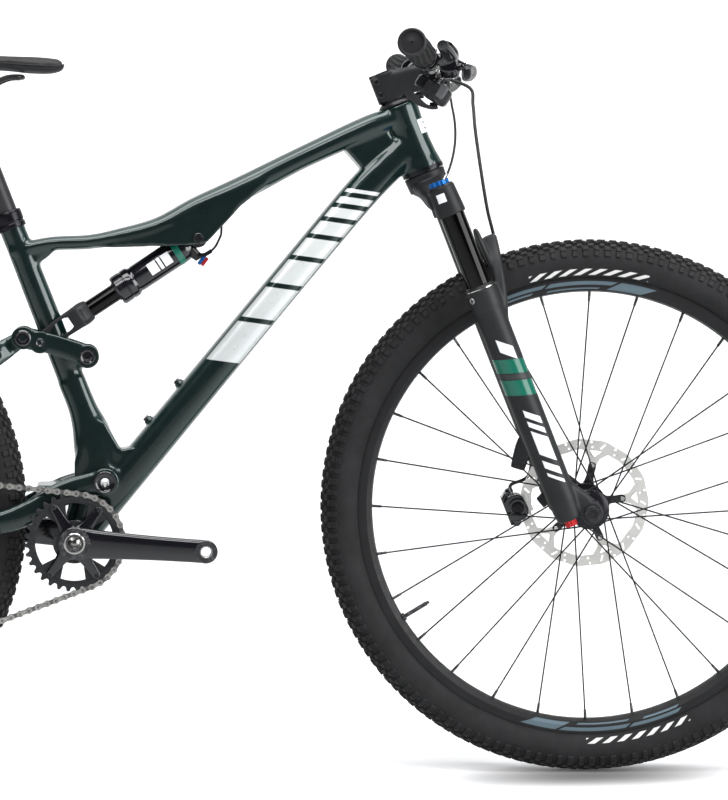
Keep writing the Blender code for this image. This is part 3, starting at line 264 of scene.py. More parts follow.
def across(point, from_y, to_y, radius, sides=32):
    """A cylinder from one side of the bike towards the other."""
    return cylinder(at(point.x, point.z, from_y), at(point.x, point.z, to_y), radius, sides)


def sleeve(start, end, outer, inner, sides=48, edge=0.0004):
    length = (end - start).length
    profile = [(0, inner + edge), (edge, inner), (length - edge, inner), (length, inner + edge),
               (length, outer - edge), (length - edge, outer), (edge, outer), (0, outer - edge)]
    return turned(profile, start, (end - start).normalized(), sides, ring=True)


def block(low, high, turn=Matrix.Identity(4)):
    corners = [turn @ Vector((x, y, z)) for x in (low[0], high[0]) for y in (low[1], high[1])
               for z in (low[2], high[2])]
    return corners, [(0, 1, 3, 2), (4, 6, 7, 5), (0, 4, 5, 1), (2, 3, 7, 6), (0, 2, 6, 4), (1, 5, 7, 3)]


def plate(outline, from_y, to_y, place=Matrix.Identity(4)):
    """A flat plate whose outline is a convex or star-shaped list of (x, z)."""
    count = len(outline)
    middle = (sum(p[0] for p in outline) / count, sum(p[1] for p in outline) / count)
    points, faces = [], []
    for y in (from_y, to_y):
        points += [place @ Vector((x, y, z)) for x, z in outline] + [place @ Vector((middle[0], y,
                                                                                     middle[1]))]
    for i in range(count):
        n = (i + 1) % count
        faces += [(i, n, count + 1 + n, count + 1 + i), (n, i, count),
                  (count + 1 + i, count + 1 + n, 2 * count + 1)]
    return points, faces


def ring_plate(outer, inner, from_y, to_y):
    """A flat ring between two outlines of equally many (x, z) points."""
    count = len(outer)
    loops = ((from_y, outer), (to_y, outer), (to_y, inner), (from_y, inner))
    points = [Vector((x, y, z)) for y, loop in loops for x, z in loop]
    faces = []
    for row in range(4):
        following = (row + 1) % 4
        for i in range(count):
            n = (i + 1) % count
            faces.append((row * count + i, row * count + n, following * count + n, following * count + i))
    return points, faces


def flat(radius, angle):
    """An outline's (x, z) point from its radius and angle."""
    return radius * math.cos(angle), radius * math.sin(angle)


def circle(radius, count, centre=(0, 0)):
    """A round outline."""
    around_it = (flat(radius, 2 * math.pi * i / count) for i in range(count))
    return [(centre[0] + x, centre[1] + z) for x, z in around_it]


def knob_outline(radius, tooth, teeth, per=6):
    """A round outline with square teeth on it; a negative tooth cuts notches."""
    out = []
    for i in range(per * teeth):
        reach = radius + (tooth if i % per < per / 2 else 0)
        out.append(flat(reach, 2 * math.pi * i / (per * teeth)))
    return out


# ---------------------------------------------------------------- materials
class Nodes:
    """Short names for building a node tree."""

    def __init__(self, name):
        self.material = bpy.data.materials.new(name)
        self.material.use_nodes = True
        self.tree = self.material.node_tree
        self.shader = self.tree.nodes["Principled BSDF"]
        self.position = self.tree.nodes.new("ShaderNodeTexCoord").outputs["Object"]

    def put(self, socket, value):
        if hasattr(value, "is_output"):
            self.tree.links.new(value, socket)
        elif isinstance(value, (tuple, list)) and len(value) == 3 and socket.type == "RGBA":
            socket.default_value = (*value, 1)
        else:
            socket.default_value = value

    def set(self, **values):
        for key, value in values.items():
            self.put(self.shader.inputs[key.replace("_", " ")], value)

    def math(self, operation, a, b=0.0, c=0.0, clamp=False):
        node = self.tree.nodes.new("ShaderNodeMath")
        node.operation, node.use_clamp = operation, clamp
        for socket, value in zip(node.inputs, (a, b, c)):
            self.put(socket, value)
        return node.outputs[0]

    def dot(self, direction, vector=None):
        node = self.tree.nodes.new("ShaderNodeVectorMath")
        node.operation = "DOT_PRODUCT"
        self.put(node.inputs[0], vector or self.position)
        node.inputs[1].default_value = direction
        return node.outputs["Value"]

    def noise(self, scale, detail=3.0, vector=None, roughness=0.55):
        node = self.tree.nodes.new("ShaderNodeTexNoise")
        self.put(node.inputs["Vector"], vector or self.position)
        for key, value in (("Scale", scale), ("Detail", detail), ("Roughness", roughness)):
            node.inputs[key].default_value = value
        return node.outputs["Fac"]

    def cells(self, scale, feature="F1", vector=None):
        node = self.tree.nodes.new("ShaderNodeTexVoronoi")
        node.feature = feature
        self.put(node.inputs["Vector"], vector or self.position)
        node.inputs["Scale"].default_value = scale
        return node.outputs["Distance"]

    def span(self, value, low, high, to_low=0.0, to_high=1.0):
        node = self.tree.nodes.new("ShaderNodeMapRange")
        for socket, item in zip(node.inputs, (value, low, high, to_low, to_high)):
            self.put(socket, item)
        return node.outputs[0]

    def mix(self, factor, a, b):
        node = self.tree.nodes.new("ShaderNodeMix")
        node.data_type = "RGBA"
        for key, value in ((0, factor), (6, a), (7, b)):
            self.put(node.inputs[key], value)
        return node.outputs[2]

    def bump(self, height, strength=0.2, distance=0.0005, normal=None):
        node = self.tree.nodes.new("ShaderNodeBump")
        self.put(node.inputs["Height"], height)
        node.inputs["Strength"].default_value = strength
        node.inputs["Distance"].default_value = distance
        if normal:
            self.put(node.inputs["Normal"], normal)
        return node.outputs[0]

    def between(self, value, low, high, soft=0.0004):
        """1 where value is between low and high, with soft edges."""
        return self.math("MULTIPLY", self.span(value, low - soft, low + soft),
                         self.span(value, high + soft, high - soft))

    def both(self, *values):
        result = values[0]
        for value in values[1:]:
            result = self.math("MULTIPLY", result, value)
        return result

    def either(self, *values):
        result = values[0]
        for value in values[1:]:
            result = self.math("MAXIMUM", result, value)
        return result

    def edge_wear(self, low=0.53, high=0.60):
        """Bright on convex edges of a dense mesh, broken up by noise."""
        node = self.tree.nodes.new("ShaderNodeNewGeometry")
        edge = self.span(node.outputs["Pointiness"], low, high)
        return self.math("MULTIPLY", edge, self.span(self.noise(220, 4), 0.45, 0.65))


def finish_material(name, colour, roughness, metallic=0.0, variation=0.12, grain=900.0, bump=0.08, coat=0.0,
                    wear=None, wear_amount=0.35, rough_spread=0.08, coarse=14.0, specular=0.5):
    """A plain coating with the drift, grain and edge wear of the real thing."""
    n = Nodes(name)
    drift = n.noise(coarse, 4)
    fine = n.noise(grain, 2)
    light = tuple(min(1, c * (1 + variation)) for c in colour)
    dark = tuple(c * (1 - variation) for c in colour)
    shade = n.mix(n.span(drift, 0.3, 0.7), dark, light)
    if wear:
        shade = n.mix(n.math("MULTIPLY", n.edge_wear(), wear_amount), shade, wear)
    n.set(Base_Color=shade, Metallic=metallic, Coat_Weight=coat, Coat_Roughness=0.08,
          Specular_IOR_Level=specular, Roughness=n.span(n.noise(coarse * 6, 5), 0.3, 0.7,
                                                        roughness - rough_spread, roughness + rough_spread),
          Normal=n.bump(fine, bump, 0.0004))
    return n.material


def paint_colour(n):
    """Dark green metallic lacquer with pale flakes, and a painted sheen: a lighter green mixed in where it
    turns away from the eye.
    """
    painted_sheen = n.tree.nodes.new("ShaderNodeLayerWeight")
    painted_sheen.inputs["Blend"].default_value = 0.42
    drift = n.noise(6, 3)
    base = n.mix(n.span(drift, 0.3, 0.7), (0.0024, 0.0122, 0.0112), (0.0034, 0.0162, 0.0145))
    # painted sheen: a lighter green where the surface turns away from the eye
    base = n.mix(n.math("MULTIPLY", painted_sheen.outputs["Facing"], 0.85), base, (0.014, 0.068, 0.058))
    flakes = n.span(n.cells(2600), 0.0, 0.22, 1.0, 0.0)
    return n.mix(n.math("MULTIPLY", flakes, 0.16), base, (0.10, 0.24, 0.22))


def finish_paint(n, colour, metallic=0.55):
    """The lacquer's clear coat over a colour."""
    n.set(Base_Color=colour, Metallic=metallic, Roughness=n.span(n.noise(40, 3), 0.3, 0.7, 0.26, 0.34),
          Coat_Weight=1.0, Coat_Roughness=n.span(n.noise(90, 4), 0.35, 0.65, 0.015, 0.045),
          Specular_IOR_Level=0.5, Normal=n.bump(n.noise(30, 2), 0.015, 0.001))
    return n.material


def plain_paint():
    n = Nodes("green_lacquer")
    return finish_paint(n, paint_colour(n))


# where the silver bars start and end along the down tube
DOWN_TUBE_BARS = ((0.195, 0.262), (0.270, 0.322), (0.330, 0.370), (0.378, 0.408),
                  (0.416, 0.438), (0.446, 0.462), (0.470, 0.481), (0.489, 0.495))


def frame_paint():
    """The same lacquer with slanted silver bars on the down tube's sides."""
    n = Nodes("green_lacquer_striped")
    along = n.math("SUBTRACT", n.dot(tuple(DOWN_TUBE_ALONG)), DOWN_TUBE_FOOT.dot(DOWN_TUBE_ALONG))
    above = n.math("SUBTRACT", n.dot(tuple(DOWN_TUBE_UP)), DOWN_TUBE_FOOT.dot(DOWN_TUBE_UP))
    slant = n.math("ADD", along, n.math("MULTIPLY", above, 0.62))
    side = n.span(n.math("ABSOLUTE", n.dot((0, 1, 0))), 0.0185, 0.0200)
    inside = n.between(above, -0.0195, 0.0190)
    marks = [n.between(slant, low, high) for low, high in DOWN_TUBE_BARS]
    mask = n.both(n.either(*marks), side, inside)
    silver = n.mix(n.span(along, 0.24, 0.50), (0.62, 0.65, 0.65), (0.80, 0.83, 0.82))
    colour = n.mix(mask, paint_colour(n), silver)
    return finish_paint(n, colour, n.span(mask, 0, 1, 0.55, 0.35))


LEG_DASHES = ((-0.2560, -0.2380), (-0.3500, -0.3400), (-0.3640, -0.3560),
              (-0.4040, -0.3700), (-0.4240, -0.4130), (-0.4360, -0.4310))


def fork_leg_material():
    """Matt black casting with two green bands and a pale generic mark low on the leg."""
    n = Nodes("fork_leg")
    along = n.math("SUBTRACT", n.dot(tuple(STEER_UP)), CROWN.dot(STEER_UP))
    ahead = n.math("SUBTRACT", n.dot(tuple(STEER_AHEAD)), CROWN.dot(STEER_AHEAD))
    out = n.span(n.math("ABSOLUTE", n.dot((0, 1, 0))), 0.0655, 0.0665)
    slant = n.math("ADD", along, n.math("MULTIPLY", ahead, 0.30))
    green = n.both(out, n.either(n.between(slant, -0.2900, -0.2700), n.between(slant, -0.3220, -0.3000)))
    line = n.both(out, n.between(slant, -0.2985, -0.2915))
    lean = n.math("ADD", along, n.math("MULTIPLY", ahead, 0.85))
    dashes = n.either(*[n.between(lean, low, high) for low, high in LEG_DASHES])
    pale = n.both(out, dashes, n.between(ahead, 0.0060, 0.0250))
    base = n.mix(n.span(n.noise(14, 4), 0.3, 0.7), (0.011, 0.0115, 0.0125), (0.017, 0.018, 0.019))
    base = n.mix(green, base, (0.002, 0.105, 0.068))
    base = n.mix(line, base, (0.030, 0.034, 0.034))
    base = n.mix(pale, base, (0.72, 0.74, 0.78))
    printed = n.either(green, pale)
    n.set(Base_Color=base, Roughness=n.span(printed, 0, 1, 0.46, 0.26),
          Coat_Weight=n.math("MULTIPLY", printed, 0.5), Specular_IOR_Level=0.30,
          Normal=n.bump(n.noise(1400, 2), 0.10, 0.0004))
    return n.material


def polar(n):
    """Angle in degrees and radius about the object's own Y axis, and the distance along it."""
    split = n.tree.nodes.new("ShaderNodeSeparateXYZ")
    n.put(split.inputs[0], n.position)
    x, y, z = split.outputs
    angle = n.math("MULTIPLY", n.math("ARCTAN2", z, x), 57.29578)
    radius = n.math("SQRT", n.math("ADD", n.math("MULTIPLY", x, x), n.math("MULTIPLY", z, z)))
    return angle, radius, y


def tyre_material():
    """Dusty black rubber: moulded rings and fine ribs on the sidewall, and pale generic dashes."""
    n = Nodes("tyre_rubber")
    angle, radius, y = polar(n)
    side = n.span(n.math("ABSOLUTE", y), 0.0150, 0.0180)
    base = n.mix(n.span(n.noise(22, 5), 0.3, 0.7), (0.0095, 0.0095, 0.0103), (0.0165, 0.0165, 0.0178))
    tread = n.span(radius, 0.3565, 0.3640)
    base = n.mix(n.math("MULTIPLY", tread, n.span(n.noise(60, 4), 0.35, 0.65, 0.15, 0.75)), base,
                 (0.042, 0.0415, 0.0405))
    slanted = n.math("ADD", angle, n.math("MULTIPLY", radius, 330.0))
    dash = n.between(n.math("FRACT", n.math("DIVIDE", slanted, 3.6)), 0.18, 0.66, 0.03)
    large = n.both(n.between(angle, 76.0, 105.0, 0.1), n.between(radius, 0.3215, 0.3300))
    small = n.both(n.between(angle, -90.0, -64.0, 0.1), n.between(radius, 0.3215, 0.3285))
    marks = n.both(n.either(large, small), dash, side)
    base = n.mix(marks, base, (0.66, 0.66, 0.65))
    rings = n.math("SINE", n.math("MULTIPLY", radius, 2600.0))
    weave = n.math("SINE", n.math("MULTIPLY", n.math("ADD", angle, n.math("MULTIPLY", radius, 500.0)),
                                  14.0))
    height = n.math("ADD", n.math("MULTIPLY", rings, n.span(radius, 0.348, 0.340, 0.0, 0.25)),
                    n.math("ADD", n.math("MULTIPLY", weave, 0.05), n.noise(700, 3)))
    n.set(Base_Color=base, Roughness=n.span(n.noise(50, 4), 0.3, 0.7, 0.66, 0.84), Specular_IOR_Level=0.28,
          Normal=n.bump(height, 0.22, 0.0005))
    return n.material


# the first and last degree, and the inner and outer radius, of the rim's printed wedges
RIM_WEDGES = ((-21, -12, .3015, .3130), (-11, 6, .3080, .3130), (-9.5, 4, .3020, .3040),
              (7, 20, .3085, .3130), (8.5, 18, .3035, .3060))


def rim_material():
    """Matt black alloy with slate-blue printed wedges in two groups."""
    n = Nodes("rim_black")
    angle, radius, y = polar(n)
    side = n.span(n.math("ABSOLUTE", y), 0.0085, 0.0105)
    marks = []
    for centre in (96.0, -84.0):
        for low, high, inner, outer in RIM_WEDGES:
            lean = n.math("ADD", angle, n.math("MULTIPLY", n.math("SUBTRACT", radius, 0.307), 320))
            marks.append(n.both(n.between(lean, centre + low, centre + high, 0.08),
                                n.between(radius, inner, outer)))
    mask = n.both(n.either(*marks), side)
    base = n.mix(n.span(n.noise(20, 4), 0.3, 0.7), (0.0100, 0.0100, 0.0110), (0.0155, 0.0155, 0.0168))
    base = n.mix(mask, base, (0.105, 0.150, 0.180))
    n.set(Base_Color=base, Metallic=0.25, Roughness=n.span(n.noise(90, 4), 0.3, 0.7, 0.38, 0.52),
          Specular_IOR_Level=0.35, Normal=n.bump(n.noise(1300, 2), 0.10, 0.0004))
    return n.material


def rotor_material():
    """Ground stainless steel with a heat-tinted braking track scored in rings."""
    n = Nodes("rotor_steel")
    radius = polar(n)[1]
    score = n.noise(1.0, 3)
    rings = n.math("SINE", n.math("MULTIPLY", radius, 9000.0))
    tint = n.mix(n.span(n.noise(30, 4), 0.3, 0.7), (0.56, 0.56, 0.54), (0.66, 0.655, 0.63))
    rough = n.span(n.math("ADD", score, rings), -0.6, 1.4, 0.30, 0.46)
    n.set(Base_Color=tint, Metallic=0.45, Roughness=rough, Normal=n.bump(rings, 0.10, 0.0002))
    return n.material


MATERIALS = {
    "paint": plain_paint(), "frame_paint": frame_paint(), "fork_leg": fork_leg_material(),
    "tyre": tyre_material(), "rim": rim_material(), "rotor": rotor_material(),
    "black_matt": finish_material("black_matt", (0.013, 0.0135, 0.015), 0.42, bump=0.10,
                                  wear=(0.08, 0.08, 0.085), specular=0.28),
    "black_satin": finish_material("black_satin", (0.010, 0.010, 0.0115), 0.28, coat=0.15, bump=0.05,
                                   wear=(0.08, 0.08, 0.085), specular=0.30),
    "black_gloss": finish_material("black_gloss", (0.0035, 0.0035, 0.0060), 0.14, metallic=0.1, coat=0.8,
                                   bump=0.02, rough_spread=0.03, wear=(0.16, 0.16, 0.17)),
    "anodised": finish_material("anodised_black", (0.022, 0.022, 0.026), 0.27, metallic=0.85, bump=0.03,
                                rough_spread=0.05),
    "stanchion": finish_material("stanchion_black", (0.0045, 0.0043, 0.0043), 0.11, metallic=0.9,
                                 coat=0.34, bump=0.01, rough_spread=0.03),
    "post": finish_material("post_black", (0.022, 0.022, 0.024), 0.36, bump=0.04, specular=0.35),
    "steel": finish_material("brushed_steel", (0.46, 0.46, 0.45), 0.30, metallic=1.0, bump=0.05,
                             grain=1600, wear=(0.8, 0.8, 0.8)),
    "bolt": finish_material("bolt_steel", (0.055, 0.056, 0.060), 0.28, metallic=0.9, bump=0.04,
                            wear=(0.35, 0.35, 0.36)),
    "chain": finish_material("chain_steel", (0.34, 0.335, 0.32), 0.30, metallic=0.8, variation=0.25,
                             coarse=160, bump=0.06, wear=(0.75, 0.74, 0.72)),
    "chain_inner": finish_material("chain_inner_steel", (0.19, 0.185, 0.18), 0.36, metallic=0.9,
                                   variation=0.3, coarse=160, bump=0.06),
    "cog": finish_material("cog_steel", (0.22, 0.22, 0.22), 0.32, metallic=1.0, variation=0.18, coarse=60,
                           bump=0.05, wear=(0.6, 0.6, 0.6)),
    "ring": finish_material("ring_black", (0.016, 0.017, 0.019), 0.38, metallic=0.2, bump=0.05,
                            wear=(0.16, 0.16, 0.165), wear_amount=0.3),
    "spoke": finish_material("spoke_black", (0.018, 0.018, 0.020), 0.30, metallic=0.7, bump=0.03),
    "grip": finish_material("grip_rubber", (0.014, 0.014, 0.0150), 0.68, bump=0.30, grain=1100, coarse=30,
                            specular=0.25),
    "hose": finish_material("hose_rubber", (0.009, 0.009, 0.010), 0.46, bump=0.10, grain=1800,
                            specular=0.35),
    "saddle": finish_material("saddle_cover", (0.020, 0.020, 0.021), 0.55, bump=0.35, grain=700,
                              variation=0.2, coarse=24, specular=0.30),
    "plastic": finish_material("moulded_plastic", (0.014, 0.014, 0.0155), 0.48, bump=0.22, grain=1000,
                               specular=0.28),
    "grey_plastic": finish_material("grey_moulded_plastic", (0.085, 0.088, 0.094), 0.48, bump=0.18,
                                    grain=1000),
    "blue": finish_material("blue_anodised", (0.006, 0.120, 0.420), 0.28, metallic=0.7, bump=0.04,
                            wear=(0.2, 0.4, 0.75)),
    "red": finish_material("red_anodised", (0.480, 0.010, 0.016), 0.30, metallic=0.5, bump=0.04,
                           wear=(0.8, 0.2, 0.2)),
    "silver": finish_material("polished_alloy", (0.60, 0.60, 0.585), 0.17, metallic=1.0, bump=0.03,
                              wear=(0.9, 0.9, 0.9)),
    "white": finish_material("white_print", (0.74, 0.76, 0.78), 0.38, bump=0.04),
    "green": finish_material("green_print", (0.004, 0.120, 0.080), 0.30, coat=0.4, bump=0.03),
}

# ---------------------------------------------------------------- making pieces


def mesh_from(shape):
    mesh = bpy.data.meshes.new("shape")
    mesh.from_pydata([tuple(p) for p in shape[0]], [], shape[1])
    bm = bmesh.new()
    bm.from_mesh(mesh)
    bmesh.ops.remove_doubles(bm, verts=bm.verts, dist=1e-6)
    bmesh.ops.recalc_face_normals(bm, faces=bm.faces)
    bm.to_mesh(mesh)
    bm.free()
    return mesh


def evaluated(obj):
    """The mesh that the object's modifiers make of it. The object is used up."""
    graph = bpy.context.evaluated_depsgraph_get()
    mesh = bpy.data.meshes.new_from_object(obj.evaluated_get(graph))
    bpy.data.objects.remove(obj, do_unlink=True)
    return mesh


def loose(shape):
    """A bare object for the modifiers to work on."""
    made = bpy.data.objects.new("loose", shape if isinstance(shape, bpy.types.Mesh) else mesh_from(shape))
    bpy.context.scene.collection.objects.link(made)
    return made


def fused_mesh(shape, voxel=0.0012, rounds=6):
    """One skin round overlapping closed shapes, with its joins softened."""
    made = loose(shape)
    remesh = made.modifiers.new("skin", "REMESH")
    remesh.mode, remesh.voxel_size = "VOXEL", voxel * 1.0
    ease = made.modifiers.new("ease", "SMOOTH")
    ease.iterations, ease.factor = rounds, 0.5
    return evaluated(made)


def piece(name, shape, material, body, stands_for=(), place=None, angle=34, bevel=0.0, subdivide=0):
    """A finished object that rides on a CAD body."""
    mesh = shape if isinstance(shape, bpy.types.Mesh) else mesh_from(shape)
    obj = bpy.data.objects.new(name, mesh)
    bpy.context.scene.collection.objects.link(obj)
    mesh.name = name
    mesh.materials.clear()
    mesh.materials.append(MATERIALS[material])
    mesh.shade_smooth()
    mesh.set_sharp_from_angle(angle=math.radians(angle))
    if place is not None:
        obj.matrix_world = place
    if bevel:
        edge = obj.modifiers.new("edges", "BEVEL")
        edge.width, edge.segments, edge.limit_method = bevel, 2, "ANGLE"
        edge.angle_limit = math.radians(30)
        edge.harden_normals = True
    if subdivide:
        soft = obj.modifiers.new("soft", "SUBSURF")
        soft.levels = soft.render_levels = subdivide
    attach(obj, body)
    if stands_for:
        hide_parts(*stands_for)
    return obj


def front(name, shape, material, body="front_end", stands_for=(), **more):
    """A piece of the front end, built straight ahead and turned to the resting steering angle."""
    return piece(name, shape, material, body, stands_for, place=STEER, **more)


def bolt_shape(point, direction, radius, height, socket=0.5):
    """A socket-head bolt's head, standing on point and facing along direction."""
    head = [(0, 0), (0, radius), (height * 0.7, radius), (height * 0.93, radius * 0.92),
            (height, radius * 0.80), (height, -radius * socket * 1.12), (height * 0.25, -radius * socket),
            (height * 0.2, 0)]
    return turned(head, point, direction.normalized(), 36)


def punched(outline, holes, y, half_thick, bevel=0.0):
    """A flat plate in the XZ plane with holes through it."""
    curve = bpy.data.curves.new("outline", "CURVE")
    curve.dimensions, curve.fill_mode, curve.extrude = "2D", "BOTH", half_thick - bevel
    curve.bevel_depth, curve.bevel_resolution, curve.offset = bevel, 0, -bevel
    for loop in (outline, *holes):
        spline = curve.splines.new("POLY")
        spline.points.add(len(loop) - 1)
        for point, (x, z) in zip(spline.points, loop):
            point.co = (x, z, 0, 1)
        spline.use_cyclic_u = True
    made = bpy.data.objects.new("outline", curve)
    bpy.context.scene.collection.objects.link(made)
    mesh = evaluated(made)
    mesh.transform(Matrix.Translation((0, y, 0)) @ Matrix.Rotation(math.pi / 2, 4, "X"))
    shape = [v.co.copy() for v in mesh.vertices], [tuple(f.vertices) for f in mesh.polygons]
    bpy.data.meshes.remove(mesh)
    return shape


def gear_outline(teeth, pitch_radius, tip=0.0026, root=0.0038, phase=0.0, sharp=0.16):
    """Chain teeth: roller seats at phase and every tooth pitch on from it."""
    out = []
    for i in range(teeth):
        for share, radius in ((-0.5, tip), (-0.5 + sharp, tip * 0.62), (-0.27, -root * 0.25),
                              (-0.16, -root * 0.82), (0.0, -root), (0.16, -root * 0.82),
                              (0.27, -root * 0.25), (0.5 - sharp, tip * 0.62)):
            out.append(flat(pitch_radius + radius, phase + 2 * math.pi * (i + share) / teeth))
    return out


def arc_points(radius, start, end, count=12):
    """Part of a circle between two angles in degrees."""
    return [flat(radius, math.radians(start + (end - start) * i / (count - 1))) for i in range(count)]


def sector(inner, outer, start, end, inset=0.0, count=10):
    """A rounded window between two radii and two angles in degrees."""
    return arc_points(outer, start + inset, end - inset, count) + arc_points(inner, end, start, count)


def side_beam(stations, power=3.0, count=28, **more):
    """A loft along stations of (x, y, z, half width, half height)."""
    return beam([(Vector(s[:3]), s[3], s[4]) for s in stations], power=power, count=count, **more)


def fork_beam(stations, **more):
    """A loft along stations of (ahead, along, across, half width, half height) on the fork."""
    return beam([(fork(a, u, y), w, t) for a, u, y, w, t in stations], **more)


def softened(mesh, spots, rounds=60):
    """Extra smoothing near some points, as where tubes run into one another: (centre, reach)."""
    made = loose(mesh)
    group = made.vertex_groups.new(name="soft")
    for vertex in mesh.vertices:
        weight = max(min(1.0, 2.0 * (1 - (vertex.co - centre).length / reach)) for centre, reach in spots)
        if weight > 0:
            group.add([vertex.index], weight, "REPLACE")
    ease = made.modifiers.new("ease", "SMOOTH")
    ease.iterations, ease.factor, ease.vertex_group = rounds, 0.5, "soft"
    return evaluated(made)


def united(*shapes):
    """One mesh from overlapping shapes, with crisp joins."""
    base, others = loose(shapes[0]), []
    for shape in shapes[1:]:
        other = loose(shape)
        join = base.modifiers.new("join", "BOOLEAN")
        join.operation, join.object = "UNION", other
        others.append(other)
    mesh = evaluated(base)
    for other in others:
        bpy.data.objects.remove(other, do_unlink=True)
    return mesh


def cut(mesh, *cutters):
    """The mesh with all the cutters' shapes taken out of it."""
    made, tool = loose(mesh), loose(joined(*cutters))
    step = made.modifiers.new("cut", "BOOLEAN")
    step.operation, step.object = "DIFFERENCE", tool
    result = evaluated(made)
    bpy.data.objects.remove(tool, do_unlink=True)
    return result


# ---------------------------------------------------------------- main frame
TOP_TUBE = ((-0.222, .7200, .0165, .009), (-0.170, .7320, .018, .0095), (-0.115, .7350, .020, .0098),
            (-0.075, .7420, .023, .0110), (-0.020, .7560, .027, .0130), (0.030, .7830, .028, .0130),
            (0.090, .8070, .028, .0165), (0.175, .8500, .027, .0150), (0.270, .8930, .026, .0165),
            (0.312, .9060, .022, .0140))
DOWN_TUBE = ((-0.128, .3420, .0270, .0240), (-0.060, .4240, .0282, .0235), (0.060, .5690, .0300, .0230),
             (0.180, .7135, .029, .0230), (0.262, .8100, .027, .0235), (0.318, .8640, .023, .0230))
HEAD_TUBE = [(0, 0), (0, .0290), (.0080, .0288), (.0220, .0266), (.0420, .0250), (.0640, .0250),
             (.0840, .0262), (.0985, .0268), (.0985, 0)]
LOWER_SEAT_TUBE = ((-0.1400, .5500, .0182, .0185), (-0.1240, .5090, .022, .0195),
                   (-0.1107, .4680, .0260, .0270), (-0.1060, .4150, .0275, .0300),
                   (-0.1300, .3450, .0280, .0230))


def frame_tube(stations, power):
    """A tube along stations of (x, z, half width, half height)."""
    return beam([(at(x, z), w, t) for x, z, w, t in stations], power=power, count=48)


def web_plate(outline, half_width):
    return plate(outline, -half_width, half_width)


def cheek_plate(outline, side):
    """The web beside the shock's front eye. It leans in towards the tube at its back end."""
    points, faces = plate(outline, 0.0222 * side, 0.0280 * side)
    shaped = []
    for p in points:
        fade = min(1.0, max(0.0, (-0.015 - p.x) / 0.090))
        shaped.append(Vector((p.x, p.y - side * 0.0092 * fade, p.z)))
    return shaped, faces


CHEEK = [(-0.1150, .7285), (-0.0605, .7270), (-0.010, .7292), (0.0350, .7318), (0.0440, .7350),
         (0.0620, .7540), (0.0900, .7835), (0.1260, .8130), (0.1160, .8220), (0.0650, .7960),
         (0.0250, .7800), (-0.0192, .7600), (-0.0605, .7440), (-0.1000, .7380)]
CHEEK_TOP = ((-.020, .7600), (.012, .7720), (.040, .7850), (.075, .8010), (.110, .8180))


def build_main_frame():
    web = web_plate([(-0.136, .340), (-0.136, .440), (-0.118, .500), (-0.094, .492), (-0.0735, .455),
                     (-0.040, .462), (-0.040, .430), (-0.110, .340)], 0.0240)
    gusset = web_plate([(0.225, .868), (0.290, .888), (0.315, .850), (0.262, .826)], 0.0195)
    seat_gusset = web_plate([(-0.205, .690), (-0.212, .722), (-0.150, .736), (-0.168, .716)], 0.0125)
    lug = beam([(at(-0.150, .578), .0170, .020), (ROCKER_PIVOT, .0262, .0135)], power=3)
    shapes = [frame_tube(TOP_TUBE, 2.7), frame_tube(DOWN_TUBE, 3.0), frame_tube(LOWER_SEAT_TUBE, 2.7),
              cylinder(seat(-0.24), seat(0), 0.0180, 64, end_radius=0.0172),
              turned(HEAD_TUBE, CROWN, STEER_UP, 96), across(BB, -0.046, 0.046, 0.0245, 72), web, gusset,
              seat_gusset, lug, across(ROCKER_PIVOT, -0.0265, 0.0265, 0.0138, 48),
              across(MAIN_PIVOT, -0.0285, 0.0285, 0.0222, 64), cheek_plate(CHEEK, -1),
              cheek_plate(CHEEK, 1), block((-0.154, -0.016, 0.3035), (-0.118, 0.016, 0.325))]
    for along in (0.0693, 0.1341):
        shapes.append(cylinder(down_tube(along, 0.0150), down_tube(along, 0.0285), 0.0065, 32))
    mesh = fused_mesh(joined(*shapes), 0.0014, 8)
    spots = [(at(-0.045, .748, s * .022), .045) for s in (-1, 1)]
    spots += [(at(x, z, s * .026), .034) for s in (-1, 1) for x, z in CHEEK_TOP]
    spots += [(at(0.300, .880), .075), (at(-0.195, .722), .055), (at(-0.115, .470), .070),
              (at(-0.150, .575), .040), (at(-0.105, .375), .050)]
    mesh = softened(mesh, spots)
    mesh = cut(mesh, across(BB, -0.06, 0.06, 0.0185, 64), across(MAIN_PIVOT, -0.05, 0.05, 0.0078),
               across(ROCKER_PIVOT, -0.05, 0.05, 0.0063), cylinder(seat(-0.215), seat(0.01), 0.0157, 48),
               cylinder(fork(0, -0.02), fork(0, 0.12), 0.0205, 64),
               across(SHOCK_MOUNT, -0.05, 0.05, 0.0043))
    piece("frame_shell", mesh, "frame_paint", "frame", ["main_frame"], angle=40)


def wrapped(centre, degrees, outline):
    """A thin plate bent round a line along the steering axis; outline is (radius, height) points."""
    rings = []
    for angle in degrees:
        out = polar_out(math.radians(angle))
        rings.append([centre + out * r + STEER_UP * u for r, u in outline])
    return rings_shape(rings)


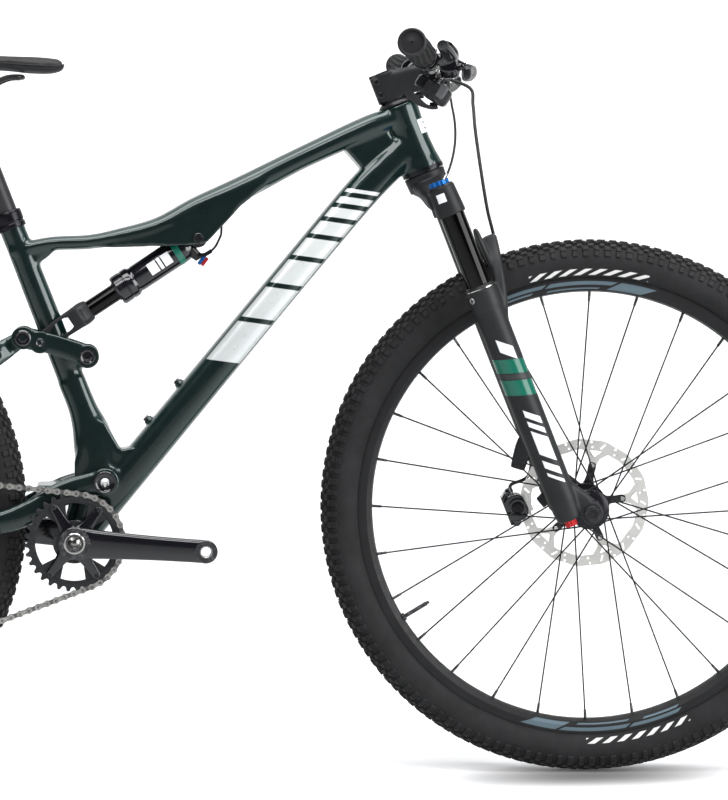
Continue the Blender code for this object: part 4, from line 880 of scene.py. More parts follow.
def build_frame_hardware():
    turn = axes(SEAT_UP.cross(LEFT) * -1, LEFT, SEAT_UP, SEAT_TUBE_TOP)
    clamp = turned([(0, .0178), (0, .0190), (.0010, .0197), (.0060, .0198), (.0070, .0189), (.0088, .0188),
                    (.0098, .0197), (.0190, .0200), (.0225, .0196), (.0240, .0188), (.0240, .0178)],
                   seat(-0.0140), SEAT_UP, 72, ring=True)
    lugs = joined(block((-0.0300, .0012, -0.0100), (-0.0190, .0085, .0080), turn),
                  block((-0.0300, -0.0085, -0.0100), (-0.0190, -0.0012, .0080), turn))
    piece("seat_clamp_collar", joined(clamp, lugs), "anodised", "frame", ["seatpost_clamp"], bevel=0.0006)
    piece("seat_clamp_bolt", bolt_shape(turn @ Vector((-0.0250, -0.0083, -0.001)), -LEFT, .0034, .0026),
          "bolt", "frame")
    cover = [(.0988, .0150), (.1055, .0150), (.1055, .0205), (.1045, .0222), (.1020, .0255), (.0994, .0266),
             (.0988, .0266)]
    piece("headset_cover", turned(cover, CROWN, STEER_UP, 80, ring=True), "black_satin", "frame",
          ["headset_upper_cover"])
    lower_ring = [(-0.0004, .0210), (-0.0004, .0288), (.0030, .0294), (.0060, .0292), (.0060, .0280)]
    piece("headset_lower_ring", turned(lower_ring, CROWN, STEER_UP, 80, ring=True), "anodised", "frame")
    for side, word in SIDES:
        cup = [(.0466, .0150), (.0466, .0236), (.0478, .0240), (.0488, .0240), (.0497, .0226),
               (.0497, .0150)]
        piece("bb_cup_ring_" + word, turned(cup, BB, side * LEFT, 72, ring=True), "anodised", "frame",
              ["bb_cup_" + word])
        piece("bb_bearing_" + word, turned([(.0480, .0130), (.0480, .0172), (.0491, .0172), (.0491, .0130)],
                                           BB, side * LEFT, 48, ring=True), "steel", "frame")
    for along, word in ((0.1341, "upper"), (0.0693, "lower")):
        piece("bottle_screw_" + word, bolt_shape(down_tube(along, .0286), DOWN_TUBE_UP, .0044, .0028),
              "bolt", "frame", ["bottle_bolt_" + word])
    pivot = [(.0022, .0090), (.0006, .0124), (0, .0130), (0, .0146), (.0006, .0152), (.0036, .0152),
             (.0036, .0074), (.0853, .0074), (.0853, .0058), (.0060, .0058), (.0050, -.0066),
             (.0020, -.0072)]
    piece("main_pivot_bolt", turned(pivot, at(MAIN_PIVOT.x, MAIN_PIVOT.z, -0.0443), LEFT, 72, ring=True),
          "black_gloss", "frame", ["main_pivot_axle"])
    rocker = [(.0022, 0), (.0022, -.0038), (.0004, -.0044), (.0010, .0068), (0, .0088), (.0004, .0106),
              (.0023, .0106), (.0023, .0060), (.0743, .0060), (.0743, .0106), (.0762, .0106),
              (.0766, .0088), (.0756, .0068), (.0756, 0)]
    piece("rocker_pivot_bolt", turned(rocker, at(ROCKER_PIVOT.x, ROCKER_PIVOT.z, -0.0383), LEFT, 60),
          "black_gloss", "frame", ["rocker_axle"])
    shock_bolt = [(.0016, 0), (.0016, -.0032), (0, -.0036), (0, .0062), (.0008, .0070), (.0028, .0070),
                  (.0028, .0039), (.0597, .0039), (.0597, 0)]
    piece("shock_bolt", turned(shock_bolt, at(SHOCK_MOUNT.x, SHOCK_MOUNT.z, -0.0313), LEFT, 48), "bolt",
          "frame", ["shock_front_bolt"])
    low, high = .0500, .0700
    badge = wrapped(fork(0, 0), range(-56, 57, 7), ((.0244, low), (.0244, high), (.0262, high),
                                                    (.0260, low)))
    piece("head_tube_plate", badge, "white", "frame", bevel=0.0004)
    for side, word in SIDES:
        out = polar_out(math.radians(side * 32))
        for u, place in ((.0560, "lower"), (.0640, "upper")):
            rivet = bolt_shape(fork(0, u) + out * .0259, out, .0013, .0006)
            piece("head_plate_rivet_%s_%s" % (place, word), rivet, "bolt", "frame")


# ---------------------------------------------------------------- seatpost and saddle
# (x, z, half width, half thickness) from the back to the nose
SADDLE = ((-0.4250, .9800, .0450, .0080), (-0.4180, .9780, .0600, .0140), (-0.4000, .9765, .0690, .0165),
          (-0.3720, .9755, .0725, .0160), (-0.3350, .9750, .0660, .0145), (-0.2950, .9752, .0500, .0125),
          (-0.2550, .9753, .0340, .0112), (-0.2250, .9748, .0270, .0108), (-0.1940, .9728, .0235, .0120),
          (-0.1670, .9718, .0200, .0115), (-0.1520, .9722, .0150, .0085), (-0.1466, .9730, .0085, .0040))

SADDLE_HALF_WIDTH = 0.0725


def saddle_shell(top, bottom, shrink=1.0):
    """The saddle lofted between two heights, as shares of its half thickness, dished and grooved."""
    rows = smooth_path(SADDLE, 6)
    rings = []
    for x, z, wide, tall in rows:
        ring = []
        for i in range(64):
            a = 2 * math.pi * (i + 0.5) / 64
            c, s = math.cos(a), math.sin(a)
            y = math.copysign(abs(c) ** (2 / 2.4), c) * wide * shrink
            lift = math.copysign(abs(s) ** (2 / 2.2), s) * tall
            reach = min(1.0, abs(y) / max(wide, 1e-6))
            if lift > 0:
                groove = min(1, max(0, (-0.19 - x) / 0.05)) * min(1, max(0, (x + 0.42) / 0.03))
                lift = lift * top - 0.0045 * math.exp(-(y / 0.009) ** 2) * groove
            else:
                lift = lift * bottom
            ring.append(Vector((x, y, z + lift - 0.007 * reach ** 3 * (wide / SADDLE_HALF_WIDTH))))
        rings.append(ring)
    return rings_shape(rings)


def puffed(shape, voxel, cap):
    """A pad swollen by a short pressure simulation, each point moved at most cap."""
    made = loose(fused_mesh(shape, voxel, 4))
    rest = [v.co.copy() for v in made.data.vertices]
    group = made.vertex_groups.new(name="pinned")
    low = min(p.z for p in rest)
    group.add([i for i, p in enumerate(rest) if p.z < low + 0.010], 1.0, "REPLACE")
    cloth = made.modifiers.new("cloth", "CLOTH")
    cloth.settings.use_pressure = True
    cloth.settings.uniform_pressure_force = 4
    cloth.settings.vertex_group_mass = "pinned"
    cloth.settings.effector_weights.gravity = 0
    scene = bpy.context.scene
    for step in range(1, 21):
        scene.frame_set(step)
    mesh = evaluated(made)
    scene.frame_set(1)
    for vertex, start in zip(mesh.vertices, rest):
        shift = vertex.co - start
        vertex.co = start + shift.normalized() * min(shift.length, cap)
    return mesh


def build_saddle():
    pad = saddle_shell(0.86, 0.45, 0.96)
    mesh = puffed(pad, 0.005, 0.003)
    piece("saddle_pad", mesh, "saddle", "saddle_and_post", ["saddle"], subdivide=1, angle=80)
    base = moved(saddle_shell(0.10, 0.95, 0.97), Matrix.Translation((0, 0, -0.0004)))
    piece("saddle_base", fused_mesh(base, 0.0022, 4), "plastic", "saddle_and_post")
    seam = []
    rows = smooth_path(SADDLE, 6)
    for x, z, wide, _ in rows[2:-1]:
        seam.append(Vector((x, wide * 0.975, z - 0.0068 * (wide / SADDLE_HALF_WIDTH) + 0.0002)))
    path = seam + [Vector((p.x, -p.y, p.z)) for p in reversed(seam)]
    piece("saddle_edge_seam", wire(path, 0.0009, 8, 2, closed=True), "saddle", "saddle_and_post")
    rail_points = ((-0.2060, .010, .9555), (-0.2200, .0140, .9545), (-0.2350, .0180, .9485),
                   (-0.2500, .0210, .9370), (-0.2640, .0220, .9290), (-0.3400, .0220, .9290),
                   (-0.3680, .0270, .9390), (-0.3900, .0320, .9510))
    rail = [Vector(p) for p in rail_points]
    nose = [Vector((-0.2020, 0, .9555))]
    loop = [Vector((p.x, -p.y, p.z)) for p in reversed(rail)] + nose + rail
    piece("saddle_rail_loop", wire(loop, 0.0034, 20), "black_satin", "saddle_and_post", ["saddle_rails"])
    build_seatpost()


def build_seatpost():
    clamp_x = -0.2870
    post = turned([(0, 0), (0, .0148), (.0010, .0154), (.2420, .0154), (.2420, .0152), (.2421, 0)],
                  seat(-0.120), SEAT_UP, 64)
    collar = turned([(0, .0155), (0, .0172), (.0040, .0180), (.0120, .0180), (.0150, .0164),
                     (.0150, .0155)], seat(0.1080), SEAT_UP, 64, ring=True)
    piece("dropper_stanchion", joined(post, collar), "post", "saddle_and_post", ["seatpost"])
    neck = beam([(seat(0.104), .0152, .0150), (seat(0.124), .0150, .0148),
                 (at(clamp_x, .9150), .0200, .0180), (at(clamp_x, .9215), .0262, .0210)], power=2.6,
                tall=AHEAD)
    cradle = block((clamp_x - 0.022, -0.0270, .9150), (clamp_x + 0.022, .0270, .9245))
    grooves = [cylinder(at(clamp_x - .04, .9290, s * .022), at(clamp_x + .04, .9290, s * .022), .0036, 32)
               for s in (-1, 1)]
    piece("seatpost_head", cut(fused_mesh(joined(neck, cradle), .0011, 6), *grooves), "black_matt",
          "saddle_and_post")
    cap = fused_mesh(block((clamp_x - 0.021, -0.0270, .9300), (clamp_x + 0.021, .0270, .9390)), .0010, 5)
    piece("seatpost_clamp_cap", cut(cap, *grooves), "black_matt", "saddle_and_post", ["saddle_clamp"])
    for i, x in enumerate((clamp_x - .015, clamp_x + .015)):
        rod = joined(bolt_shape(at(x, .9386), UP, .0042, .0034),
                     cylinder(at(x, .905), at(x, .9390), .0024, 24),
                     cylinder(at(x, .9060), at(x, .9115), .0048, 24))
        piece("seatpost_bolt_%d" % (i + 1), rod, "bolt", "saddle_and_post")


# ---------------------------------------------------------------- fork
def build_fork_crown():
    stations = ((.009, -.042, -.066, .0200, .0140), (.004, -.026, -.036, .0215, .0120),
                (0, -.0160, 0, .0250, .0140), (.004, -.026, .036, .0215, .0120),
                (.009, -.042, .066, .0200, .0140))
    bridge = fork_beam(stations, tall=STEER_UP, power=3.2, wide=STEER_AHEAD, count=40)
    sockets = [cylinder(leg(s, -.0660), leg(s, -.0250, -.001), .0203, 64, end_radius=.0187)
               for s in (-1, 1)]
    race = cylinder(fork(0, -.0230), fork(0, -.0009), .0272, 72, .001, end_radius=.0286)
    mesh = fused_mesh(joined(bridge, *sockets, race), .0011, 10)
    cutters = [cylinder(leg(s, -.0500), leg(s, -.0950), .0173, 64) for s in (-1, 1)]
    mesh = cut(mesh, *cutters)
    front("fork_crown_shell", mesh, "black_matt", "front_end", ["fork_crown"])
    front("steerer_tube", cylinder(fork(0, -.010), fork(0, .1410), .0142, 48), "anodised")
    for side, word in SIDES:
        tube = turned([(0, 0), (0, .0165), (.0010, .0170), (.2490, .0170), (.2490, 0)], leg(side, -.3000),
                      STEER_UP, 96)
        front("stanchion_tube_" + word, tube, "stanchion", "front_end", ["stanchion_" + word])
    label = ((.0186, -.0460), (.0186, -.0340), (.0195, -.0340), (.0198, -.0460))
    front("crown_label", wrapped(leg(-1, 0), range(-126, -89, 6), label), "white")
    turn = fork_axes(leg(-1, -.0246, -.001)) @ Matrix.Rotation(math.pi / 2, 4, "X")
    front("lockout_knob", plate(knob_outline(.0128, .0011, 12, 10), 0.0, .0075, turn), "blue", bevel=0.0004)
    front("lockout_base", turned([(0, 0), (0, .0176), (.0014, .0176), (.0020, .0165), (.0020, 0)],
                                 leg(-1, -.0252, -.001), STEER_UP, 64), "black_satin")
    front("lockout_cap", bolt_shape(leg(-1, -.0172, -.001), STEER_UP, .0062, .0016), "bolt")
    arm = cylinder(fork(.0185, -.0185, -.0740), fork(.0262, -.0125, -.0660), .0026, 24, end_radius=.0021)
    front("lockout_cable_stop", arm, "silver")
    front("air_cap", turned([(0, 0), (0, .0178), (.0030, .0176), (.0042, .0160), (.0042, .0085),
                             (.0075, .0080), (.0080, .0070), (.0080, 0)], leg(1, -.0252, -.001), STEER_UP,
                            64), "black_satin")


# stations of (ahead, along, across, half width, half height)
ARCH = ((.022, -.2300, -.0600, .010, .012), (.036, -.1900, -.0575, .0092, .0100),
        (.046, -.1480, -.0450, .0088, .0074), (.0505, -.1225, -.0200, .0098, .0056),
        (.0515, -.1175, 0, .0102, .0054), (.0505, -.1225, .0200, .0098, .0056),
        (.046, -.1480, .0450, .0088, .0074), (.036, -.1900, .0575, .0092, .0100),
        (.022, -.2300, .0600, .010, .012))
ARCH_CREST = ((.0375, -.1060, .0040, .0040, .0085), (.0375, -.1110, .0200, .0040, .0080),
              (.0380, -.1300, .0390, .0042, .0062), (.0390, -.1560, .0500, .0042, .0050),
              (.0380, -.1800, .0560, .0042, .0050))
LEG_PROFILE = [(0, 0), (0, .0150), (.0020, .0168), (.010, .0182), (.030, .0203), (.120, .0205),
               (.300, .0209), (.3085, .0209), (.3105, .0221), (.332, .0222), (.3365, .0216), (.338, .0200),
               (.338, 0)]


def build_fork_lowers():
    shapes, cutters = [], []
    for side in (-1, 1):
        shapes.append(turned(LEG_PROFILE, leg(side, -.5100), STEER_UP, 96))
        dropout = ((.016, -.4550, side * .0660, .0125, .0120), (.028, -.4800, side * .0645, .0090, .0150),
                   (.036, -.4950, side * .0640, .0085, .0155), (.044, -.5120, side * .0640, .0085, .0140))
        shapes.append(fork_beam(dropout, power=3))
        shapes.append(cylinder(fork(.044, -.512, side * .0555), fork(.044, -.512, side * .0735), .0152, 64))
        cutters.append(cylinder(leg(side, -.4500), leg(side, -.1500), .0175, 64))
    cutters.append(across(FRONT_AXLE, -.09, .09, .0079))
    shapes.append(fork_beam(ARCH, power=3.0, wide=STEER_AHEAD, count=36))
    crest = [(a, u, -y, w, t) for a, u, y, w, t in ARCH_CREST[::-1]] + list(ARCH_CREST)
    shapes.append(fork_beam(crest, power=2.6, wide=STEER_AHEAD, count=32))
    mount = fork_beam(((.004, -.3980, .0560, .0055, .0110), (-.008, -.4120, .0560, .0060, .0120),
                       (-.026, -.4350, .0535, .0060, .0100)), power=4)
    mount_low = fork_beam(((.004, -.4860, .0560, .0055, .0100), (-.014, -.4920, .0545, .0060, .0085)),
                          power=4)
    shapes += [mount, mount_low]
    spots = [(fork(.026, -.215, s * .062), .045) for s in (-1, 1)]
    spots += [(fork(.025, -.480, s * .064), .035) for s in (-1, 1)]
    mesh = softened(fused_mesh(joined(*shapes), .0013, 8), spots, 30)
    front("fork_legs", cut(mesh, *cutters), "fork_leg", "fork_lowers", ["fork_lowers"])
    for side, word in SIDES:
        seal = [(.0, .0171), (.0, .0206), (.0014, .0208), (.0024, .0198), (.0042, .0192), (.0050, .0180),
                (.0050, .0171)]
        front("fork_seal_" + word, turned(seal, leg(side, -.1722), STEER_UP, 72, ring=True), "hose",
              "fork_lowers")
        ring = turned([(0, .0205), (0, .0214), (.0013, .0214), (.0013, .0205)], leg(side, -.1728), STEER_UP,
                      72, ring=True)
        front("seal_ring_" + word, ring, "silver", "fork_lowers")
        aside = (side * LEFT * .66 - STEER_AHEAD * .75).normalized()
        screw = bolt_shape(leg(side, -.1835) + aside * .0216, aside, .0042, .0020)
        front("leg_screw_" + word, screw, "steel", "fork_lowers")
    turn = fork_axes(leg(-1, -.5102)) @ Matrix.Rotation(-math.pi / 2, 4, "X")
    front("rebound_knob", plate(knob_outline(.0078, .0009, 12), 0, .0085, turn), "red", "fork_lowers",
          bevel=.0005)
    front("foot_nut", turned([(0, 0), (0, -.0080), (.0050, -.0080), (.0056, .0060), (.0056, 0)],
                             leg(1, -.5098), -STEER_UP, 36), "bolt", "fork_lowers")
    lobes = [(.0018, 0), (.0018, -.0056), (0, -.0062), (0, .0104), (.0010, .0112), (.0050, .0112),
             (.0050, .0075), (.1530, .0075), (.1530, 0)]
    front("front_axle_rod", turned(lobes, at(FRONT_AXLE.x, FRONT_AXLE.z, -.0790), LEFT, 72), "black_satin",
          "fork_lowers", ["front_axle"])
    build_caliper("front", fork_axes(fork(-.0445, -.4830, .0400)), STEER, "fork_lowers")


def build_caliper(word, turn, place, body):
    """A two-piston caliper: halves round the rotor, piston caps, pad fins, bolts and the hose's banjo."""
    front_one = word == "front"
    inner_y, outer_y = (-.0100, .0175) if front_one else (-.0125, .0125)
    low, high = ((-.0185, -.0250), (.0145, .0250)) if front_one else ((-.0175, -.0212), (.0175, .0212))
    middle_x, ear_x = (-.0010, -.0095) if front_one else (-.0005, .0080)
    outline = []
    for k in range(48):
        x, z = flat(1, 2 * math.pi * k / 48)
        wide = middle_x + .0155 * math.copysign(abs(x) ** .8, x)
        outline.append((wide - (.0020 if front_one else -.0010),
                        (high[1] - .0060) * math.copysign(abs(z) ** .75, z)))

    def rod(x, z, from_y, to_y, radius, sides):
        return cylinder(turn @ Vector((x, from_y, z)), turn @ Vector((x, to_y, z)), radius, sides)

    ears = [rod(ear_x, z, inner_y + .0012, outer_y - .0012, .0064, 40)
            for z in (low[1] + .0062, high[1] - .0062)]
    halves = [plate(outline, .0030, outer_y, turn), plate(outline, inner_y, -.0030, turn)]
    back_x = low[0] if front_one else high[0] - .0070
    bridge = block((back_x, inner_y + .001, low[1] + .004),
                   (back_x + .0070, outer_y - .001, high[1] - .004), turn)
    side = Vector(turn.col[1][:3])
    boss = rod(middle_x, 0, inner_y - .0004, outer_y + .0026, .0128, 56)
    mesh = fused_mesh(joined(*halves, bridge, boss, *ears), .0008, 7)
    slot_from, slot_to = (-.0120, .05) if front_one else (-.05, .0110)
    mesh = cut(mesh, block((slot_from, -.0030, -.06), (slot_to, .0030, .06), turn))
    piece(word + "_caliper_body", mesh, "black_gloss", body, [word + "_caliper"], place=place)
    face = outer_y + .0026
    cap = turned([(0, 0), (0, .0095), (.0008, .0095), (.0012, .0088), (.0012, -.0040), (.0004, -.0036),
                  (.0004, 0)], turn @ Vector((middle_x, face - .0002, 0)), side, 48)
    piece(word + "_caliper_cap", cap, "anodised", body, place=place)
    for i, z in enumerate((low[1] + .0050, high[1] - .0050)):
        head = bolt_shape(turn @ Vector((ear_x, outer_y - .0014, z)), side, .0042, .0028)
        piece("%s_caliper_bolt_%d" % (word, i + 1), head, "bolt", body, place=place)
    fin_from = high[0] - .002 if front_one else low[0] - .004
    fin_to = high[0] + .004 if front_one else low[0] + .002
    fins = [block((fin_from, -.0022 + k * .0018, -.0120), (fin_to, -.0014 + k * .0018, .0120), turn)
            for k in (-.6, 2.2)]
    inner_cap = turned([(0, 0), (0, .0090), (.0006, .0090), (.0010, .0082), (.0010, -.0038),
                        (.0003, -.0034), (.0003, 0)], turn @ Vector((middle_x, inner_y - .0002, 0)), -side,
                       48)
    piece(word + "_caliper_inner_cap", inner_cap, "anodised", body, place=place)
    banjo = cylinder(turn @ Vector((middle_x - .002, .0080, high[1] - .010)),
                     turn @ Vector((middle_x - .004, .0080, high[1] + .0030)), .0046, 32)
    piece(word + "_caliper_banjo", banjo, "bolt", body, place=place)
    piece(word + "_brake_pads", joined(*fins), "silver", body, place=place, bevel=.0002)


# ---------------------------------------------------------------- cockpit
BAR_CENTRE = fork(0.0603, 0.1190)
BAR_END = Vector((0.3138, 0.370, 0.9890))


def bar_path(side):
    points = [BAR_CENTRE, BAR_CENTRE + Vector((0, .040, 0)), BAR_CENTRE + Vector((-.0005, .085, .0025)),
              Vector((BAR_CENTRE.x - .0070, .150, BAR_CENTRE.z + .0070)), BAR_END]
    return [Vector((p.x, side * p.y, p.z)) for p in points]


def bar_point(y, ahead=0.0, above=0.0):
    """A point on the bar's straight end at y, or ahead of it or above it."""
    inner, outer = bar_path(1)[-2:]
    point = inner.lerp(outer, (abs(y) - inner.y) / (outer.y - inner.y))
    return Vector((point.x + ahead, math.copysign(point.y, y), point.z + above))


def bar_direction(side):
    inner, outer = bar_path(side)[-2:]
    return (outer - inner).normalized()


BAR_BORE = 0.0114


def bar_band(side, y, width, outer):
    """A clamp band round the bar."""
    middle, along = bar_point(side * y), bar_direction(side)
    return sleeve(middle - along * width / 2, middle + along * width / 2, outer, BAR_BORE, 48, 0.0008)


def bar_beam(side, stations, **more):
    """A loft along stations of (y, ahead, above, half width, half height) from the bar's axis."""
    return beam([(bar_point(side * y, ahead, above), w, t) for y, ahead, above, w, t in stations], **more)


def bar_wire(side, path, radius, sides, per):
    """A round bar along (y, ahead, above) points from the bar's axis."""
    return wire([bar_point(side * y, ahead, above) for y, ahead, above in path], radius, sides, per)


def build_bar_and_stem():
    radii = [.0158, .0158, .0150, .0111, .0111]
    both_sides = bar_path(-1)[:0:-1] + bar_path(1)
    front("handlebar_tube", wire(both_sides, radii[:0:-1] + radii, 32, 6), "black_satin", "front_end",
          ["handlebar"])
    low, high = .1052, .1450
    clamp = cylinder(fork(0, low), fork(0, high), .0205, 72)
    box_turn, face_turn = fork_axes(fork(0, .1275)), fork_axes(BAR_CENTRE)
    slab = beam([(fork(-.0225, .1255), .0150, .0188), (fork(-.012, .1255), .0185, .0196),
                 (fork(.006, .1252), .0205, .0197), (fork(.020, .1245), .0200, .0185),
                 (fork(.034, .1232), .0225, .0180), (BAR_CENTRE - STEER_AHEAD * .0100, .0232, .0200)],
                power=6, count=44, tall=STEER_UP, per=6)
    jaw = across(BAR_CENTRE, -.0238, .0238, .0213, 72)
    mesh = fused_mesh(joined(clamp, slab, jaw), .0011, 6)
    mesh = cut(mesh, block((.0004, -.05, -.05), (.05, .05, .05), face_turn))
    mesh = cut(mesh, across(BAR_CENTRE, -.05, .05, .0161, 64))
    mesh = cut(mesh, cylinder(fork(0, .09), fork(0, .1418), .0145, 48))
    front("stem_body", mesh, "black_matt", "front_end", ["stem"])
    front("stem_slot", block((-.0232, -.0006, -.0200), (-.0140, .0006, .0200), box_turn), "bolt")
    for i, u in enumerate((.1180, .1370)):
        front("stem_pinch_bolt_%d" % (i + 1), bolt_shape(fork(-.0160, u, -.0163), -LEFT, .0046, .0030),
              "bolt")
    front("stem_top_cap", turned([(0, 0), (0, .0172), (.0014, .0172), (.0024, .0162), (.0024, -.0050),
                                  (.0006, -.0042), (.0006, 0)], fork(0, .1448), STEER_UP, 60), "anodised")
    shell = across(BAR_CENTRE, -.0238, .0238, .0208, 72)
    tabs = [block((.0014, -.0238, s * .0205 - .0048), (.0112, .0238, s * .0205 + .0048), face_turn)
            for s in (-1, 1)]
    mesh = fused_mesh(joined(shell, *tabs), .0010, 5)
    mesh = cut(mesh, block((-.06, -.05, -.05), (.0012, .05, .05), face_turn))
    mesh = cut(mesh, across(BAR_CENTRE, -.05, .05, .0161, 64))
    mesh = cut(mesh, block((.005, -.0090, -.0110), (.05, .0090, .0110), face_turn))
    front("stem_clamp_plate", mesh, "black_matt", "front_end", ["stem_faceplate"])
    for i, (y, z) in enumerate(((-.0175, .0205), (.0175, .0205), (-.0175, -.0205), (.0175, -.0205))):
        front("stem_face_bolt_%d" % (i + 1), bolt_shape(face_turn @ Vector((.0108, y, z)), STEER_AHEAD,
                                                        .0036, .0026), "bolt")


END_CAP = [(-.0030, 0), (-.0030, .0100), (0, .0106), (-.0008, .0174), (.0006, .0179), (.0026, .0176),
           (.0038, .0162), (.0034, .0146), (.0004, .0130), (.0002, .0036), (.0006, .0028), (.0006, .0017),
           (-.0016, .0013), (-.0016, 0)]


def build_grips():
    for side, word in SIDES:
        inner, outer = bar_point(side * .2410), bar_point(side * .3705)
        length, along = (outer - inner).length, bar_direction(side)
        place = facing(along, inner)
        rings, count, rows = [], 144, 120
        for k in range(rows + 1):
            t = k / rows
            z = .0095 + (length - .0095) * t
            ring = []
            swell = .0150 + .0012 * math.sin(math.pi * min(1, t * 1.05)) ** 2
            swell += .0030 * max(0.0, (t - .80) / .20) ** 2
            for i in range(count):
                a = 2 * math.pi * i / count
                ridge = math.sin(a * 14 + 1.9 * math.sin(t * 5.0))
                fade = min(1.0, t / .06, max(0.0, (.94 - t) / .05))
                rib = .0013 * max(-1.0, min(1.0, ridge * 1.8)) * fade
                ring.append(place @ Vector((*flat(swell + rib, a), z)))
            rings.append(ring)
        for z in (length, .0095):
            rings.append([place @ Vector((*point, z)) for point in circle(.0113, count)])
        front("grip_sleeve_" + word, rings_shape(rings, closed=True), "grip", "front_end", ["grip_" + word],
              angle=50)
        ring = turned([(0, .0113), (0, .0158), (.0008, .0166), (.0078, .0166), (.0086, .0158),
                       (.0090, .0113)], inner, along, 72, ring=True)
        front("grip_lock_ring_" + word, ring, "anodised")
        front("grip_lock_bolt_" + word, bolt_shape(inner + along * .0043 + Vector((.0040, 0, -.0158)),
                                                   Vector((.2, 0, -1)), .0024, .0016), "bolt")
        front("bar_end_cap_" + word, turned(END_CAP, outer, along, 72), "plastic")


# stations of (y, ahead, above, half width, half height) from the bar's axis
LEVER_BLADE = ((.1880, .0480, -.0080, .0050, .0056), (.1960, .0560, -.0120, .0050, .0064),
               (.2080, .0595, -.0160, .0044, .0068), (.2500, .0595, -.0250, .0042, .0072),
               (.2950, .0590, -.0300, .0052, .0084), (.3180, .0610, -.0312, .0058, .0088),
               (.3300, .0635, -.0316, .0052, .0076), (.3345, .0650, -.0318, .0030, .0044))


def build_brake_housing(side, word):
    band = bar_band(side, .2050, .0120, .0150)
    path = ((.1640, .0265, -.0050), (.1720, .0280, -.0030), (.1900, .0290, .0020), (.2150, .0270, .0085),
            (.2370, .0236, .0132))
    body = bar_wire(side, path, [.0062, .0082, .0096, .0092, .0076], 40, 6)
    neck = bar_wire(side, ((.2050, .0130, 0), (.2050, .0290, .0040)), .0078, 24, 4)
    skirt = bar_beam(side, ((.1780, .0260, -.0120, .0110, .0080), (.1920, .0275, -.0110, .0130, .0110),
                            (.2080, .0270, -.0060, .0105, .0095)), tall=UP, wide=AHEAD, power=3.5, count=32)
    ears = bar_wire(side, ((.1900, .0360, -.0030), (.1885, .0440, -.0070)), .0062, 24, 4)
    bore = cylinder(bar_point(side * .19), bar_point(side * .22), .0114, 48)
    mesh = cut(fused_mesh(joined(band, body, neck, skirt, ears), .0009, 8), bore)
    front("brake_lever_housing_" + word, mesh, "black_gloss", "front_end", ["brake_lever_body_" + word])
    cap = [(0, 0), (0, .0073), (.0026, .0072), (.0034, .0062), (.0030, .0050), (.0014, .0044),
           (.0014, .0024), (-.0020, .0021), (-.0020, 0)]
    cap_at, cap_end = bar_point(side * .2376, .0235, .0133), bar_point(side * .2408, .0230, .0140)
    front("brake_reservoir_cap_" + word, turned(cap, cap_at, (cap_end - cap_at).normalized(), 48),
          "black_matt")
    for i, (y, x, z) in enumerate(((.1830, .0335, .0098), (.2240, .0300, .0186))):
        screw = bolt_shape(bar_point(side * y, x, z), Vector((.45, 0, 1)), .0028, .0014)
        front("brake_lid_screw_%d_%s" % (i + 1, word), screw, "silver")
    lid = bar_beam(side, ((.1790, .0325, .0070, .0050, .0024), (.2030, .0325, .0125, .0064, .0026),
                          (.2280, .0292, .0180, .0050, .0022)), tall=Vector((.4, 0, 1)),
                   wide=Vector((1, 0, -.4)), power=3.5)
    front("brake_lid_" + word, lid, "anodised")
    for i, up in enumerate((.0128, -.0128)):
        head = bolt_shape(bar_point(side * .2050, .0105, up), Vector((.3, 0, up)), .0027, .0020)
        front("brake_clamp_bolt_%d_%s" % (i + 1, word), head, "silver")
    banjo = cylinder(bar_point(side * .1655, .0256, -.0044), bar_point(side * .1600, .0240, -.0052), .0048,
                     36)
    front("brake_banjo_" + word, banjo, "bolt")


def build_brake_blade(side, word):
    mesh = fused_mesh(bar_beam(side, LEVER_BLADE, power=2.8, wide=AHEAD, tall=UP, count=32), .0007, 4)
    holes = [cylinder(bar_point(side * y, .03, up), bar_point(side * y, .09, up), .0022, 24)
             for y, up in ((.235, -.0215), (.250, -.0250), (.265, -.0270))]
    body = "brake_lever_" + word
    front("brake_blade_" + word, cut(mesh, *holes), "black_satin", body, [body])
    pivot = bar_point(side * .1880, .0480, -.0080)
    front("brake_blade_pin_" + word, cylinder(pivot - UP * .0070, pivot + UP * .0070, .0022, 24), "silver",
          body)


def build_brake_levers():
    for side, word in SIDES:
        build_brake_housing(side, word)
        build_brake_blade(side, word)


SHIFTER_LEAN = math.radians(32)
SHIFTER_AHEAD = Vector((math.cos(SHIFTER_LEAN), 0, -math.sin(SHIFTER_LEAN)))
SHIFTER_UP = Vector((math.sin(SHIFTER_LEAN), 0, math.cos(SHIFTER_LEAN)))


def shifter_beam(stations, **more):
    return bar_beam(-1, stations, tall=SHIFTER_UP, wide=SHIFTER_AHEAD, **more)


